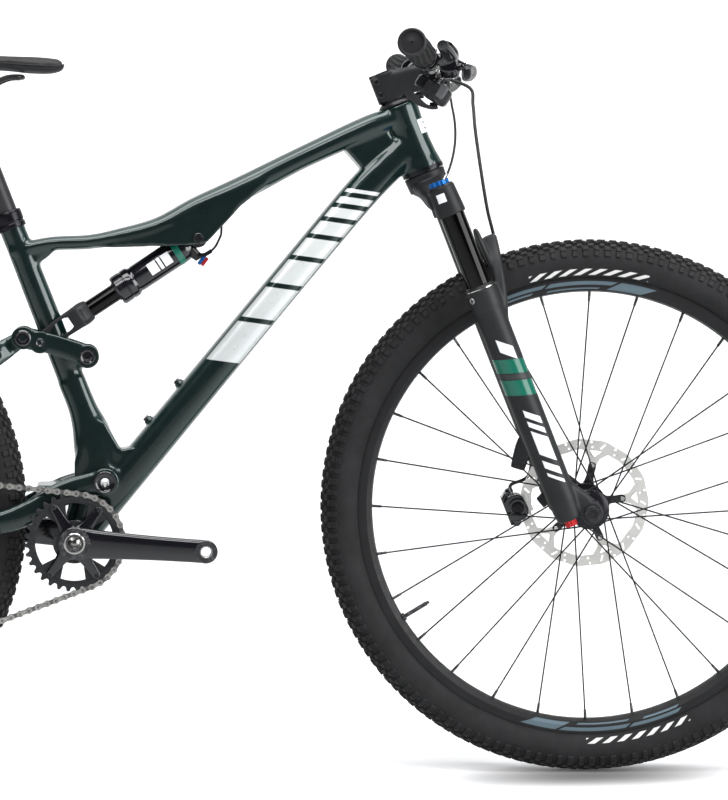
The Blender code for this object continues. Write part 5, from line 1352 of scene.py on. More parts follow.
def build_shifter():
    band = bar_band(-1, .1720, .0080, .0150)
    neck = bar_wire(-1, ((.1720, .004, -.0140), (.1720, .008, -.0340)), .0058, 24, 4)
    body = shifter_beam(((.1480, .008, -.0350, .0100, .0066), (.1560, .009, -.0375, .0158, .0112),
                         (.1700, .0095, -.0392, .0176, .0126), (.1820, .0095, -.0388, .0168, .0118),
                         (.1905, .008, -.0365, .0122, .0090)), count=40, power=4.5)
    knuckle = shifter_beam(((.1600, -.0060, -.0260, .0090, .0080), (.1740, -.0075, -.0265, .0110, .0100),
                            (.1860, -.0070, -.0260, .0085, .0075)), count=36, power=4.5)
    mesh = fused_mesh(joined(band, neck, body, knuckle), .0009, 6)
    mesh = cut(mesh, cylinder(bar_point(-.16), bar_point(-.185), .0150, 48))
    front("shifter_housing", mesh, "black_satin", "front_end", ["shifter_body"])
    face = shifter_beam(((.1890, .0165, -.0385, .0066, .0096), (.1945, .0170, -.0385, .0060, .0088),
                         (.1960, .0170, -.0385, .0048, .0072)), power=5)
    front("shifter_front_cover", face, "grey_plastic")
    ribs = []
    for y in (-.1912, -.1950):
        turn = axes(SHIFTER_AHEAD, LEFT, SHIFTER_UP, bar_point(y, .004, -.0368))
        ribs.append(block((-.0100, -.0012, -.0098), (.0085, .0012, .0098), turn))
    front("shifter_ribs", joined(*ribs), "black_matt", bevel=.0006)
    cover = [(0, 0), (0, .0112), (.0012, .0112), (.0024, .0098), (.0026, .0045), (.0018, .0040), (.0018, 0)]
    front("shifter_cover", turned(cover, bar_point(-.1700, .0100, -.0294), UP, 60), "silver")
    disc = [(0, 0), (0, .0060), (.0060, .0060), (.0068, .0052), (.0062, .0034), (.0050, .0030), (.0050, 0)]
    front("shifter_pivot_cap", turned(disc, bar_point(-.1800, .0135, -.0170), -LEFT, 48), "silver")
    nipple = cylinder(bar_point(-.1500, .0080, -.0365), bar_point(-.1400, .0080, -.0375), .0040, 30)
    front("shifter_cable_nipple", nipple, "anodised")
    pivot = cylinder(bar_point(-.1660, .0040, -.0500), bar_point(-.1660, .0040, -.0562), .0052, 32)
    front("shift_lever_pivot", pivot, "anodised")
    paddle = bar_beam(-1, ((.1640, .0040, -.0570, .0062, .0022), (.1740, -.0010, -.0568, .0058, .0021),
                           (.1850, -.0085, -.0550, .0060, .0021), (.2000, -.0180, -.0480, .0074, .0023),
                           (.2090, -.0235, -.0420, .0060, .0020)), tall=UP, wide=AHEAD, count=28)
    front("shift_paddle", fused_mesh(paddle, .0006, 3), "plastic", "shift_lever", ["shift_lever"])


def build_remote():
    """The seatpost's lever under the left of the bar."""
    band = bar_band(1, .1720, .0100, .0150)
    body = bar_beam(1, ((.1550, .0020, -.0225, .0075, .0050), (.1650, .0020, -.0232, .0104, .0080),
                        (.1780, .0020, -.0230, .0098, .0075), (.1890, .0020, -.0225, .0068, .0046)),
                    tall=UP, wide=AHEAD, count=32)
    mesh = cut(fused_mesh(joined(band, body), .0008, 7),
               cylinder(bar_point(.16), bar_point(.185), .0114, 48))
    front("remote_housing", mesh, "black_satin", "front_end", ["remote_body"])
    lever = bar_beam(1, ((.1670, -.0020, -.0345, .0056, .0021), (.1800, -.0070, -.0347, .0050, .0019),
                         (.1950, -.0145, -.0350, .0056, .0020), (.2110, -.0205, -.0350, .0062, .0019)),
                     tall=UP, wide=AHEAD, count=28)
    front("remote_paddle", fused_mesh(lever, .0006, 3), "black_satin", "remote_lever", ["remote_lever"])


# ---------------------------------------------------------------- wheels, built round their own axle
SPOKES_A_SIDE = 14
KNOB_PITCHES = 148


def around(radius, angle, y=0.0):
    """A point round a wheel's own axle."""
    return Vector((radius * math.cos(angle), y, radius * math.sin(angle)))


def wheel_place(word):
    return STEER @ Matrix.Translation(FRONT_AXLE) if word == "front" else Matrix.Translation(REAR_AXLE)


def tyre_casing():
    """A hollow tyre whose beads sit in the rim."""
    half = [(.0112, .3170), (.0165, .3182), (.0212, .3225), (.0252, .3290), (.0272, .3370), (.0268, .3450),
            (.0238, .3528), (.0182, .3592), (.0105, .3630), (0, .3642)]
    outside = half + [(-y, r) for y, r in half[-2::-1]]
    inside = [(-.0095, .3190), (-.0200, .3300), (-.0200, .3480), (0, .3600), (.0200, .3480), (.0200, .3300),
              (.0095, .3190)]
    rows = smooth_path(outside, 4)
    return turned([(y, r) for y, r in rows] + inside, Vector(), LEFT, 220, ring=True)


def tread_block(angle, y, long, wide, height, lean=0.0, taper=0.82):
    """One tread knob standing square to the casing's round section."""
    phi = math.asin(max(-0.97, min(0.97, y / 0.0275)))
    out = around(math.cos(phi), angle) + LEFT * math.sin(phi)
    side = LEFT * math.cos(phi) - around(math.sin(phi), angle)
    ahead = out.cross(side)
    base = around(.3385 + .0270 * math.cos(phi), angle, .0270 * math.sin(phi))
    points = []
    for level, size in ((-.0030, 1.0), (height, taper)):
        for s, t in ((-1, -1), (1, -1), (1, 1), (-1, 1)):
            forward = ahead * (t * long * size / 2 + s * lean * wide)
            points.append(base + out * level + side * s * wide * size / 2 + forward)
    return points, [(0, 3, 2, 1), (4, 5, 6, 7), (0, 1, 5, 4), (1, 2, 6, 5), (2, 3, 7, 6), (3, 0, 4, 7)]


def tread():
    """Five rows of small knobs a side, the rows staggered and the sides mirrored half a pitch on."""
    rows = ((.0042, 0.00, .0098, .0062, .0042, 0.16), (.0112, 0.50, .0078, .0056, .0042, -0.26),
            (.0166, 0.04, .0084, .0054, .0042, 0.20), (.0212, 0.52, .0084, .0066, .0042, 0.0),
            (.0247, 0.52, .0078, .0096, .0032, 0.0))
    shapes, step = [], 2 * math.pi / KNOB_PITCHES
    for i in range(KNOB_PITCHES):
        for s in (-1, 1):
            for y, shift, long, wide, height, lean in rows:
                a = (i + shift) * step
                longer = 1.15 if (i + (s > 0)) % 2 else 0.92
                shapes.append(tread_block(a, s * y, long * longer, wide, height, lean * s, 0.80))
    return joined(*shapes)


def rim_shape():
    half = [(.0112, .3150), (.0118, .3172), (.0150, .3172), (.0154, .3150), (.0150, .3060), (.0118, .3000),
            (.0050, .2979), (0, .2976)]
    loop = half + [(-y, r) for y, r in half[-2::-1]] + [(-.0085, .3120), (0, .3098), (.0085, .3120)]
    return turned(loop, Vector(), LEFT, 160, ring=True)


def spoke_set(flanges):
    """28 spokes crossed behind one another, each with a threaded nipple at the rim."""
    spokes, nipples = [], []
    for side, (flange_y, flange_radius) in enumerate(flanges):
        for i in range(SPOKES_A_SIDE):
            rim_angle = 2 * math.pi * (i + side / 2) / SPOKES_A_SIDE
            lean = math.radians(62 if i % 2 else -62)
            shift = .0016 if i % 2 else -.0016
            hub = around(flange_radius, rim_angle + lean, flange_y + shift)
            rim = around(.2952, rim_angle, math.copysign(.0030, flange_y))
            head = around(flange_radius, rim_angle + lean, flange_y - shift * 0.9)
            line = (rim - hub).normalized()
            spokes.append(wire([head, hub, hub + line * .004, hub.lerp(rim, .5), rim],
                               [.0012, .0012, .00115, .00105, .00115], 8, 2))
            spokes.append(cylinder(head - LEFT * math.copysign(.0003, shift),
                                   head - LEFT * math.copysign(.0012, shift), .0017, 12, .0002))
            nipples.append(cylinder(rim - line * .0105, rim + line * .0030, .0018, 12, .0003,
                                    end_radius=.0021))
    return joined(*spokes), joined(*nipples)


HUBS = {"front": ([(-.0547, .0080), (.0547, .0080), (.0547, .0106), (.0535, .0112), (.0440, .0112),
                   (.0440, .0156), (.0430, .0160), (.0345, .0160), (.0338, .0175), (.0330, .0283),
                   (.0325, .0290), (.0285, .0290), (.0275, .0280), (.0262, .0190), (.0235, .0150),
                   (.0180, .0132), (-.0210, .0128), (-.0270, .0145), (-.0302, .0190), (-.0312, .0264),
                   (-.0318, .0272), (-.0348, .0272), (-.0355, .0262), (-.0372, .0170), (-.0400, .0140),
                   (-.0470, .0122), (-.0500, .0110), (-.0547, .0108)], ((.0305, .0256), (-.0332, .0240))),
        "rear": ([(-.0737, .0066), (.0737, .0066), (.0737, .0100), (.0725, .0106), (.0560, .0106),
                  (.0560, .0156), (.0550, .0160), (.0400, .0160), (.0385, .0180), (.0376, .0282),
                  (.0370, .0290), (.0335, .0290), (.0328, .0280), (.0310, .0190), (.0280, .0155),
                  (.0200, .0145), (-.0130, .0150), (-.0190, .0170), (-.0206, .0282), (-.0212, .0290),
                  (-.0246, .0290), (-.0252, .0282), (-.0275, .0180), (-.0300, .0130), (-.0320, .0113),
                  (-.0737, .0113)], ((.0350, .0256), (-.0228, .0256))),}


def build_wheel(word):
    place, body = wheel_place(word), word + "_wheel"
    piece(word + "_tyre_casing", tyre_casing(), "tyre", body, [word + "_tyre"], place=place, angle=60)
    piece(word + "_tread", tread(), "tyre", body, place=place, bevel=.0004)
    piece(word + "_rim_hoop", rim_shape(), "rim", body, [word + "_rim"], place=place, angle=25)
    profile, flanges = HUBS[word]
    piece(word + "_hub_shell", turned(profile, Vector(), LEFT, 96, ring=True), "anodised", body,
          [word + "_spoked_hub"], place=place, angle=28)
    spokes, nipples = spoke_set(flanges)
    piece(word + "_spokes", spokes, "spoke", body, place=place, angle=60)
    piece(word + "_nipples", nipples, "bolt", body, place=place)
    valve_angle = 2 * math.pi * 0.25 / SPOKES_A_SIDE + math.radians(205)
    valve = joined(*[cylinder(around(outer, valve_angle), around(inner, valve_angle), thick, sides)
                     for outer, inner, thick, sides in ((.2980, .2600, .0029, 24),
                                                        (.2620, .2560, .0021, 20),
                                                        (.2985, .2945, .0055, 24))])
    piece(word + "_valve", valve, "bolt", body, place=place)
    rotor_y, radius = (.0400, .0900) if word == "front" else (.0500, .0800)
    build_rotor(word, place, body, rotor_y, radius)


def rotor_slot(radius, angle):
    """A slanted slot with round ends in the middle of the braking track."""
    middle, lean, slot = flat(radius - .0076, angle), angle + math.radians(58), []
    for k in range(20):
        b = 2 * math.pi * k / 20
        u, v = .0014 * math.cos(b), .0014 * math.sin(b) + math.copysign(.0035, math.sin(b))
        slot.append((middle[0] + u * math.cos(lean) - v * math.sin(lean),
                     middle[1] + u * math.sin(lean) + v * math.cos(lean)))
    return slot


def build_rotor(word, place, body, y, radius):
    """A wavy braking track with slots and holes, on riveted links and a black carrier."""
    waves, steps = 15, 300
    outer, inner = [], []
    for i in range(steps):
        a = 2 * math.pi * i / steps
        wave = math.cos(a * waves)
        outer.append(flat(radius - .0007 + .0007 * wave, a))
        inner.append(flat(radius - .0152 + .0006 * wave, a))
    holes = [inner]
    for i in range(2 * waves):
        a = 2 * math.pi * i / (2 * waves)
        if i % 2:
            holes.append(circle(.0019, 16, flat(radius - .0040, a)))
            holes.append(circle(.0016, 16, flat(radius - .0112, a - .03)))
        else:
            holes.append(rotor_slot(radius, a))
    piece(word + "_rotor_track", punched(outer, holes, y, .0009, .0001), "rotor", body, [word + "_rotor"],
          place=place)
    rivet_radius, first = radius - .0364, math.radians(6.6)
    arms, links, rivets = [], [], []
    for i in range(5):
        a = first + math.radians(72 * i)
        for da, r in ((-.50, .0250), (-.26, .0290), (-.130, .0400), (-.105, rivet_radius - .0010),
                      (-.055, rivet_radius + .0040), (.055, rivet_radius + .0040),
                      (.105, rivet_radius - .0010), (.130, .0400), (.26, .0290), (.50, .0250)):
            arms.append(flat(r, a + da))
        link = []
        for da, r in ((-.080, rivet_radius - .0020), (-.100, rivet_radius + .0030), (-.130, radius - .0250),
                      (-.270, radius - .0138), (-.140, radius - .0130), (-.030, radius - .0240),
                      (.060, radius - .0230), (.130, radius - .0130), (.250, radius - .0138),
                      (.110, radius - .0260), (.090, rivet_radius + .0020), (.080, rivet_radius - .0020)):
            link.append(flat(r, a + da))
        links.append(plate(link, y - .0008, y + .0008))
        rivets.append(cylinder(around(rivet_radius, a, y - .0024), around(rivet_radius, a, y + .0024),
                               .0032, 24))
    piece(word + "_rotor_links", joined(*links), "rotor", body, place=place)
    arms = [tuple(p) for p in smooth_path(arms + [arms[0]], 4)[:-1]]
    piece(word + "_rotor_carrier", punched(arms, [circle(.0165, 48)], y, .0014, .0002), "black_satin", body,
          place=place)
    piece(word + "_rotor_rivets", joined(*rivets), "silver", body, place=place)
    piece(word + "_rotor_lockring", punched(knob_outline(.0205, -.0010, 16), [circle(.0130, 40)], y + .0026,
                                            .0014, .0003), "anodised", body, place=place)


# ---------------------------------------------------------------- drivetrain
PITCH = 0.0127
RING_Y, COG_Y = -0.0520, -0.0415


def pitch_radius(teeth):
    return PITCH / (2 * math.sin(math.pi / teeth))


# the chain lies on the ring, on one cog of the cassette and on two pulleys
RING_TEETH, COG_TEETH, PULLEY_TEETH = 32, 39, 13
RING_RADIUS, COG_RADIUS, PULLEY_RADIUS = (pitch_radius(teeth)
                                          for teeth in (RING_TEETH, COG_TEETH, PULLEY_TEETH))


def side_angle(v):
    """The vector's direction in degrees as seen from the side."""
    return math.degrees(math.atan2(v.z, v.x))


def side_length(v):
    """The vector's length as seen from the side."""
    return Vector((v.x, 0, v.z)).length


def on_circle(centre, radius, degrees, y):
    a = math.radians(degrees)
    return Vector((centre.x + radius * math.cos(a), y, centre.z + radius * math.sin(a)))


def run(centre, radius, start, end, y):
    """The chain's path round a wheel."""
    count = 160
    return [on_circle(centre, radius, start + (end - start) * i / (count - 1), y) for i in range(count)]


def chain_loop():
    """The chain's path round the ring, the cog and both pulleys. The angles are where it leaves a wheel."""
    back, down = REAR_AXLE - BB, GUIDE_PULLEY - REAR_AXLE
    between, forward = TENSION_PULLEY - GUIDE_PULLEY, BB - TENSION_PULLEY
    top = side_angle(back) - math.degrees(math.acos((RING_RADIUS - COG_RADIUS) / side_length(back)))
    wrap = math.degrees(math.acos((COG_RADIUS + PULLEY_RADIUS) / side_length(down)))
    off_cog = side_angle(down) - wrap + 360
    off_guide = side_angle(between) + math.degrees(math.acos(2 * PULLEY_RADIUS / side_length(between)))
    rise = math.degrees(math.asin((RING_RADIUS - PULLEY_RADIUS) / side_length(forward)))
    off_tension = side_angle(forward) - 90 - rise
    return (run(BB, RING_RADIUS, top, off_tension, RING_Y)[::-1]
            + run(REAR_AXLE, COG_RADIUS, top, off_cog, COG_Y)
            + run(GUIDE_PULLEY, PULLEY_RADIUS, off_cog - 180, off_guide, COG_Y)
            + run(TENSION_PULLEY, PULLEY_RADIUS, off_guide + 180, off_tension + 360, COG_Y))


def pins_along(loop):
    """Points one chain pitch apart, an even number of them, all the way round."""
    lengths = [(b - a).length for a, b in zip(loop, loop[1:] + loop[:1])]
    count = 2 * round(sum(lengths) / PITCH / 2)
    step, pins, travelled, wanted = sum(lengths) / count, [], 0.0, 0.0
    for a, b, length in zip(loop, loop[1:] + loop[:1], lengths):
        while wanted < travelled + length - 1e-9 and len(pins) < count:
            pins.append(a.lerp(b, (wanted - travelled) / length))
            wanted += step
        travelled += length
    return pins


def link_outline():
    """A chain plate: two round ends and a waist."""
    radius, waist = .0043, .0028
    end = [flat(radius, math.radians(-130 + 260 * i / 14)) for i in range(15)]
    front_end = [(PITCH / 2 + x, z) for x, z in end]
    back_end = [(-PITCH / 2 - x, -z) for x, z in end]
    return front_end + [(0, waist)] + back_end + [(0, -waist)]


def build_chain():
    """Links, rollers and pins, grouped by the body they ride on. Returns the middles of the pins."""
    pins = pins_along(chain_loop())
    half_thick, groups = .00045, {}
    for i, pin in enumerate(pins):
        after = pins[(i + 1) % len(pins)]
        middle = (pin + after) / 2
        word = "front" if middle.x > -0.175 and middle.z < 0.45 else "rear"
        along = (after - pin).normalized()
        turn = axes(along, LEFT, along.cross(LEFT), middle)
        kind, y = ("inner", .00150) if i % 2 else ("outer", .00245)
        for side in (-1, 1):
            link = plate(link_outline(), side * y - half_thick, side * y + half_thick, turn)
            groups.setdefault((word, kind), []).append(link)
        turn = axes(along, LEFT, along.cross(LEFT), pin)
        for kind, half_long, radius, sides in (("roller", .0011, .0036, 16), ("pin", .0032, .0017, 14)):
            rod = cylinder(turn @ Vector((0, -half_long, 0)), turn @ Vector((0, half_long, 0)), radius,
                           sides, .0002)
            groups.setdefault((word, kind), []).append(rod)
    for (word, kind), shapes in groups.items():
        body = "frame" if word == "front" else "chainstay"
        outer = kind == "outer"
        piece("chain_%s_%s" % (word, kind), joined(*shapes), "chain" if outer else "chain_inner", body,
              ["chain_" + word] if outer else ())
    return pins


def tooth_phase(pins, centre, radius):
    """The angle of a chain pin that sits on this wheel, so that the teeth stand between the pins."""
    best = min(pins, key=lambda p: abs(side_length(p - centre) - radius))
    return math.atan2(best.z - centre.z, best.x - centre.x)


def build_crankset(pins):
    place = Matrix.Translation(BB)
    phase = tooth_phase(pins, BB, RING_RADIUS)
    outline = gear_outline(RING_TEETH, RING_RADIUS, .0024, .0040, phase)
    arms = (52, 120, 232, 303)
    ends = arms[1:] + (arms[0] + 360,)
    windows = [sector(.0290, .0522, a + 10, b - 10, 7.0, 12) for a, b in zip(arms, ends)]
    holes = [circle(.0140, 40)] + windows
    piece("chainring_plate", punched(outline, holes, RING_Y, .0011, .0003), "ring", "crank", ["chainring"],
          place=place)
    rib = ring_plate(circle(.0598, 160), circle(.0552, 160), RING_Y - .0022, RING_Y - .0008)
    piece("chainring_rib", rib, "ring", "crank", place=place, bevel=.0003)
    shapes = [cylinder(Vector((0, -.0592, 0)), Vector((0, -.0535, 0)), .0215, 64)]
    for a in arms:
        start, end = around(.0160, math.radians(a), -.0562), around(.0560, math.radians(a), -.0545)
        shapes.append(beam([(start, .0028, .0125), (start.lerp(end, .35), .0027, .0080),
                            (end, .0017, .0056)], power=4))
    mesh = cut(fused_mesh(joined(*shapes), .0009, 8),
               cylinder(Vector((0, -.07, 0)), Vector((0, -.04, 0)), .0127, 48))
    piece("chainring_spider", mesh, "black_gloss", "crank", place=place)
    bolts = [bolt_shape(around(.0545, math.radians(a), -.0562), -LEFT, .0036, .0012) for a in arms]
    piece("chainring_bolts", joined(*bolts), "bolt", "crank", place=place)
    build_crank_arms(place)


def build_crank_arms(place):
    drop = math.radians(4)
    for side, word in SIDES:
        reach = Vector((math.cos(drop), 0, -math.sin(drop))) * (1 if side < 0 else -1)
        stations = ((-.006, .0655, .0072, .0205), (.012, .0655, .0072, .0208), (.035, .0665, .0072, .0190),
                    (.100, .0715, .0070, .0165), (.150, .0757, .0070, .0156), (.175, .0770, .0070, .0153),
                    (.184, .0770, .0062, .0110))
        arm = beam([(reach * d + side * y * LEFT, w, t) for d, y, w, t in stations], power=3.2, count=44)
        pedal = reach * .175
        shapes = [arm, across(pedal, side * .0700, side * .0838, .0155, 64),
                  across(Vector(), side * .0585, side * .0742, .0215, 72)]
        if side < 0:
            shapes.append(across(Vector(), -.0640, .0560, .0124, 64))
        mesh = united(*shapes)
        bore = across(Vector(), -.09, .09, .0090, 48) if side < 0 else across(Vector(), .0563, .09, .0090,
                                                                              48)
        mesh = cut(mesh, bore, across(pedal, side * .05, side * .10, .0071, 48))
        piece("crank_arm_" + word, mesh, "black_gloss", "crank", ["crank_" + word], place=place)
        face = side * .0743
        ring = turned([(0, .0096), (0, .0142), (.0012, .0141), (.0018, .0134), (.0018, .0120),
                       (.0006, .0112), (-.0160, .0104), (-.0200, .0030), (-.0205, .0086), (-.0020, .0092)],
                      Vector((0, face - side * .0004, 0)), side * LEFT, 64, ring=True)
        piece("spindle_ring_" + word, ring, "silver", "crank", place=place)
        thread = turned([(-.0120, .0068), (-.0120, .0071), (.0002, .0071), (.0003, .0084), (.0008, .0082),
                         (.0008, .0072), (.0004, .0068)], pedal + side * .0838 * LEFT, side * LEFT, 48,
                        ring=True)
        piece("pedal_thread_" + word, thread, "steel", "crank", place=place)


# teeth of the sprockets, from the outermost inwards
CASSETTE = (10, 12, 14, 16, 18, 21, 24, 28, 33, 39, 45, 51)


def build_cassette(pins):
    place, step = Matrix.Translation(REAR_AXLE), .00327
    phase = tooth_phase(pins, REAR_AXLE, COG_RADIUS)
    outer_y = COG_Y - 9 * step
    for i, teeth in enumerate(CASSETTE):
        y, radius = outer_y + i * step, pitch_radius(teeth)
        outline = gear_outline(teeth, radius, .0022, .0036, phase if teeth == COG_TEETH else i * 0.21)
        bore = .0120 if teeth < 16 else .0165 if teeth < 24 else .0200 if teeth <= 30 else radius - .0230
        holes = [circle(bore, 64)]
        if teeth > 20:
            inner = holes[0][0][0] + .0030
            n = 6 if teeth < 39 else 9
            for k in range(n):
                a = 360 / n * k + i * 7
                holes.append(sector(inner, radius - .0085, a, a + 360 / n * .68, 3.0, 8))
        cog = punched(outline, holes, y, .00072, .0002)
        piece("cassette_cog_%02d" % teeth, cog, "cog" if teeth < 45 else "anodised", "cassette",
              ["cassette"] if teeth == CASSETTE[-1] else (), place=place)
    core = [(outer_y + .0007, .0118), (outer_y + 11 * step, .0118), (outer_y + 11 * step, .0330),
            (outer_y + 9 * step, .0330), (outer_y + 7 * step, .0240), (outer_y + 4 * step, .0225),
            (outer_y + .0007, .0160)]
    piece("cassette_carrier", turned(core, Vector(), LEFT, 96, ring=True), "anodised", "cassette",
          place=place)
    spider, arms = [], 9
    for k in range(arms):
        a = 2 * math.pi * k / arms
        stations = [(around(.028, a, outer_y + 10 * step), .0045, .0045),
                    (around(.055, a + .16, outer_y + 9.5 * step), .0046, .0034),
                    (around(.078, a + .28, outer_y + 10.2 * step), .0030, .0030)]
        spider.append(beam(stations, power=4, count=12, per=4))
    piece("cassette_spider", joined(*spider), "anodised", "cassette", place=place)
    lockring = turned([(0, .0121), (0, .0160), (-.0014, .0158), (-.0018, .0148), (-.0018, .0121)],
                      Vector((0, outer_y - .0008, 0)), LEFT, 72, ring=True)
    piece("cassette_lockring", lockring, "steel", "cassette", place=place)


PULLEYS = (("guide", GUIDE_PULLEY), ("tension", TENSION_PULLEY))
# the cage plate's (distance from the guide pulley, half width)
CAGE = ((-.013, .004), (-.006, .0105), (.010, .0135), (.030, .0120), (.050, .0090), (.075, .0100),
        (.092, .0100), (.100, .0070), (.1045, .0020))


def build_derailleur(pins):
    """Both pulleys, the cage round them, and the knuckles that hang it from the hanger."""
    inner_y, outer_y = COG_Y + .0050, COG_Y - .0055
    pulley_bolt = [(.0014, 0), (.0014, -.0022), (0, -.0026), (0, .0046), (.0010, .0052), (.0022, .0052),
                   (.0022, .0036), (.0140, .0036), (.0140, 0)]
    for word, centre in PULLEYS:
        place, body = Matrix.Translation(centre), word + "_pulley"
        phase = tooth_phase(pins, centre, PULLEY_RADIUS)
        outline = gear_outline(PULLEY_TEETH, PULLEY_RADIUS, .0016, .0042, phase, .20)
        holes = [circle(.0060, 32)] + [circle(.0026, 16, flat(.0125, 2 * math.pi * k / 6))
                                       for k in range(6)]
        piece(word + "_pulley_wheel", punched(outline, holes, COG_Y, .0011, .0003), "plastic", body, [body],
              place=place)
        bearing = turned([(-.0020, .0042), (.0020, .0042), (.0020, .0062), (-.0020, .0062)],
                         Vector((0, COG_Y, 0)), LEFT, 40, ring=True)
        piece(word + "_pulley_bearing", bearing, "steel", body, place=place)
    line = (TENSION_PULLEY - GUIDE_PULLEY).normalized()
    side = line.cross(LEFT)
    loop = list(CAGE) + [(a, -h * .8) for a, h in reversed(CAGE)]
    points = [GUIDE_PULLEY + line * a + side * h for a, h in loop]
    window = [GUIDE_PULLEY + line * (.040 + .0065 * math.cos(t) * 2.0) + side * .0045 * math.sin(t)
              for t in (2 * math.pi * k / 20 for k in range(20))]
    for y, word in ((inner_y, "inner"), (outer_y, "outer")):
        shape = punched([(p.x, p.z) for p in points], [[(p.x, p.z) for p in window]], y, .0010, .0002)
        piece("derailleur_cage_" + word, shape, "anodised", "chainstay",
              ["derailleur_cage"] if word == "outer" else ())
    for word, centre in PULLEYS:
        bolt = turned(pulley_bolt, at(centre.x, centre.z, outer_y - .0022), LEFT, 36)
        piece(word + "_pulley_bolt", bolt, "bolt", "chainstay")
    knuckle = at(-.5760, .3260)
    shapes = [beam([(at(-.5745, .3470, -.0940), .0040, .0105), (at(-.5752, .3380, -.0940), .0046, .0125),
                    (knuckle + Vector((0, -.0940, 0)), .0052, .0132)], power=3),
              across(knuckle, -.1008, -.0882, .0137, 64),
              beam([(knuckle + Vector((.001, -.0860, -.0060)), .0092, .0108),
                    (at(-.5710, .3050, -.0800), .0098, .0138), (at(-.5660, .2850, -.0740), .0104, .0152),
                    (at(-.5600, .2650, -.0680), .0100, .0150), (at(-.5550, .2480, -.0630), .0094, .0138)],
                   power=3.2), across(GUIDE_PULLEY, -.0740, -.0492, .0166, 64)]
    piece("derailleur_knuckles", fused_mesh(joined(*shapes), .0011, 10), "black_satin", "chainstay",
          ["derailleur_body"])
    plate_out = [(-.5800, .3150), (-.5690, .3180), (-.5600, .3000), (-.5460, .2700), (-.5430, .2520),
                 (-.5560, .2450), (-.5680, .2560), (-.5760, .2840)]
    smooth_out = [tuple(p) for p in smooth_path(plate_out + [plate_out[0]], 6)[:-1]]
    rows = punched(smooth_out, [], 0.0, .0012, .0004)
    leant = [Vector((p.x, -.0905 + (0.3180 - p.z) * 0.235 + p.y, p.z)) for p in rows[0]], rows[1]
    piece("derailleur_outer_plate", leant, "anodised", "chainstay")
    piece("derailleur_knuckle_bolt", bolt_shape(at(knuckle.x, knuckle.z, -.1006), -LEFT, .0088, .0024, .45),
          "bolt", "chainstay")
    piece("derailleur_cage_bolt", bolt_shape(at(GUIDE_PULLEY.x, GUIDE_PULLEY.z, -.0738), -LEFT, .0098,
                                             .0022, .45), "bolt", "chainstay")


# ---------------------------------------------------------------- rear suspension
def build_chainstay():
    shapes = []
    for side in (-1, 1):
        shapes.append(across(MAIN_PIVOT, side * .0290, side * .0402, .0190, 64))
        shapes.append(side_beam([(x, side * y, z, w, t) for x, y, z, w,
                                 t in ((-.098, .0346, .4115, .0054, .0170),
                                       (-.150, .0365, .3980, .0065, .0170),
                                       (-.195, .0420, .3740, .0075, .0165),
                                       (-.240, .0455, .3590, .0080, .0150),
                                       (-.320, .0500, .3530, .0075, .0135),
                                       (-.430, .0585, .3540, .0060, .0125),
                                       (-.500, .0705, .3600, .0055, .0125),
                                       (-.540, .0780, .3670, .0040, .0145),
                                       (-.563, .0784, .3700, .0039, .0150))], 2.8, 36))
        shapes.append(across(REAR_AXLE, side * .0744, side * .0824, .0180, 64))
    shapes.append(block((-.186, -.0360, .3880), (-.154, .0360, .4085)))
    shapes.append(beam([(at(-.5050, .3700, .0700), .0045, .0150), (at(-.4980, .3930, .0685), .0045, .0100)],
                       power=4))
    shapes += [block((-.5800, -.0822, .3340), (-.5660, -.0750, .3600)),
               block((-.5805, -.0868, .3330), (-.5655, -.0800, .3500))]
    mesh = softened(fused_mesh(joined(*shapes), .0013, 8),
                    [(at(-.160, .400, s * .034), .040) for s in (-1, 1)], 25)
    mesh = cut(mesh, across(MAIN_PIVOT, -.06, .06, .0078), across(REAR_AXLE, -.10, .10, .0064))
    piece("chainstay_shell", mesh, "paint", "chainstay", ["chainstay"])
    guard = [(x, -y - .0004, z + .0008, w + .0012, t + .0012) for x, y, z, w,
             t in ((-.235, .0455, .3592, .0080, .0150), (-.320, .0500, .3530, .0075, .0135),
                   (-.420, .0575, .3540, .0062, .0125))]
    rings = side_beam(guard, 2.8, 36)
    piece("chainstay_guard", rings, "hose", "chainstay")
    axle = [(.0020, 0), (.0020, -.0042), (0, -.0048), (0, .0078), (.0008, .0085), (.0034, .0085),
            (.0034, .0060), (.1815, .0060), (.1815, 0)]
    piece("rear_axle_rod", turned(axle, at(REAR_AXLE.x, REAR_AXLE.z, -.0925), LEFT, 60), "black_satin",
          "chainstay", ["rear_axle"])
    turn = Matrix.Translation(Vector((-.5100, .0500, .4240))) @ Matrix.Rotation(math.radians(-42), 4, "Y")
    build_caliper("rear", turn, None, "chainstay")


def build_seatstay():
    toward = (REAR_AXLE - STAY_PIVOT).normalized()
    shapes = []
    for side in (-1, 1):
        path = ((0, .0225, .0033, .0105), (.019, .0226, .0036, .0125), (.032, .0275, .0060, .0140),
                (.075, .0405, .0070, .0155), (.160, .0455, .0065, .0125), (.290, .0600, .0060, .0105),
                (.345, .0765, .0060, .0108), (.385, .0862, .0031, .0120), (.420, .0858, .0029, .0130))
        shapes.append(beam([(STAY_PIVOT + toward * d + side * y * LEFT, w, t) for d, y, w, t in path],
                           power=2.8, count=36))
        shapes.append(across(STAY_PIVOT, side * .0192, side * .0260, .0108, 48))
        shapes.append(across(REAR_AXLE, side * .0828, side * .0888, .0165, 64))
    bridge = STAY_PIVOT + toward * .0430
    shapes.append(across(bridge, -.0360, .0360, .0095, 48))
    mesh = softened(fused_mesh(joined(*shapes), .0012, 8),
                    [(bridge + s * .030 * LEFT, .030) for s in (-1, 1)], 25)
    mesh = cut(mesh, across(STAY_PIVOT, -.06, .06, .0053), across(REAR_AXLE, -.10, .10, .0064))
    piece("seatstay_shell", mesh, "paint", "seatstay", ["seatstay"])


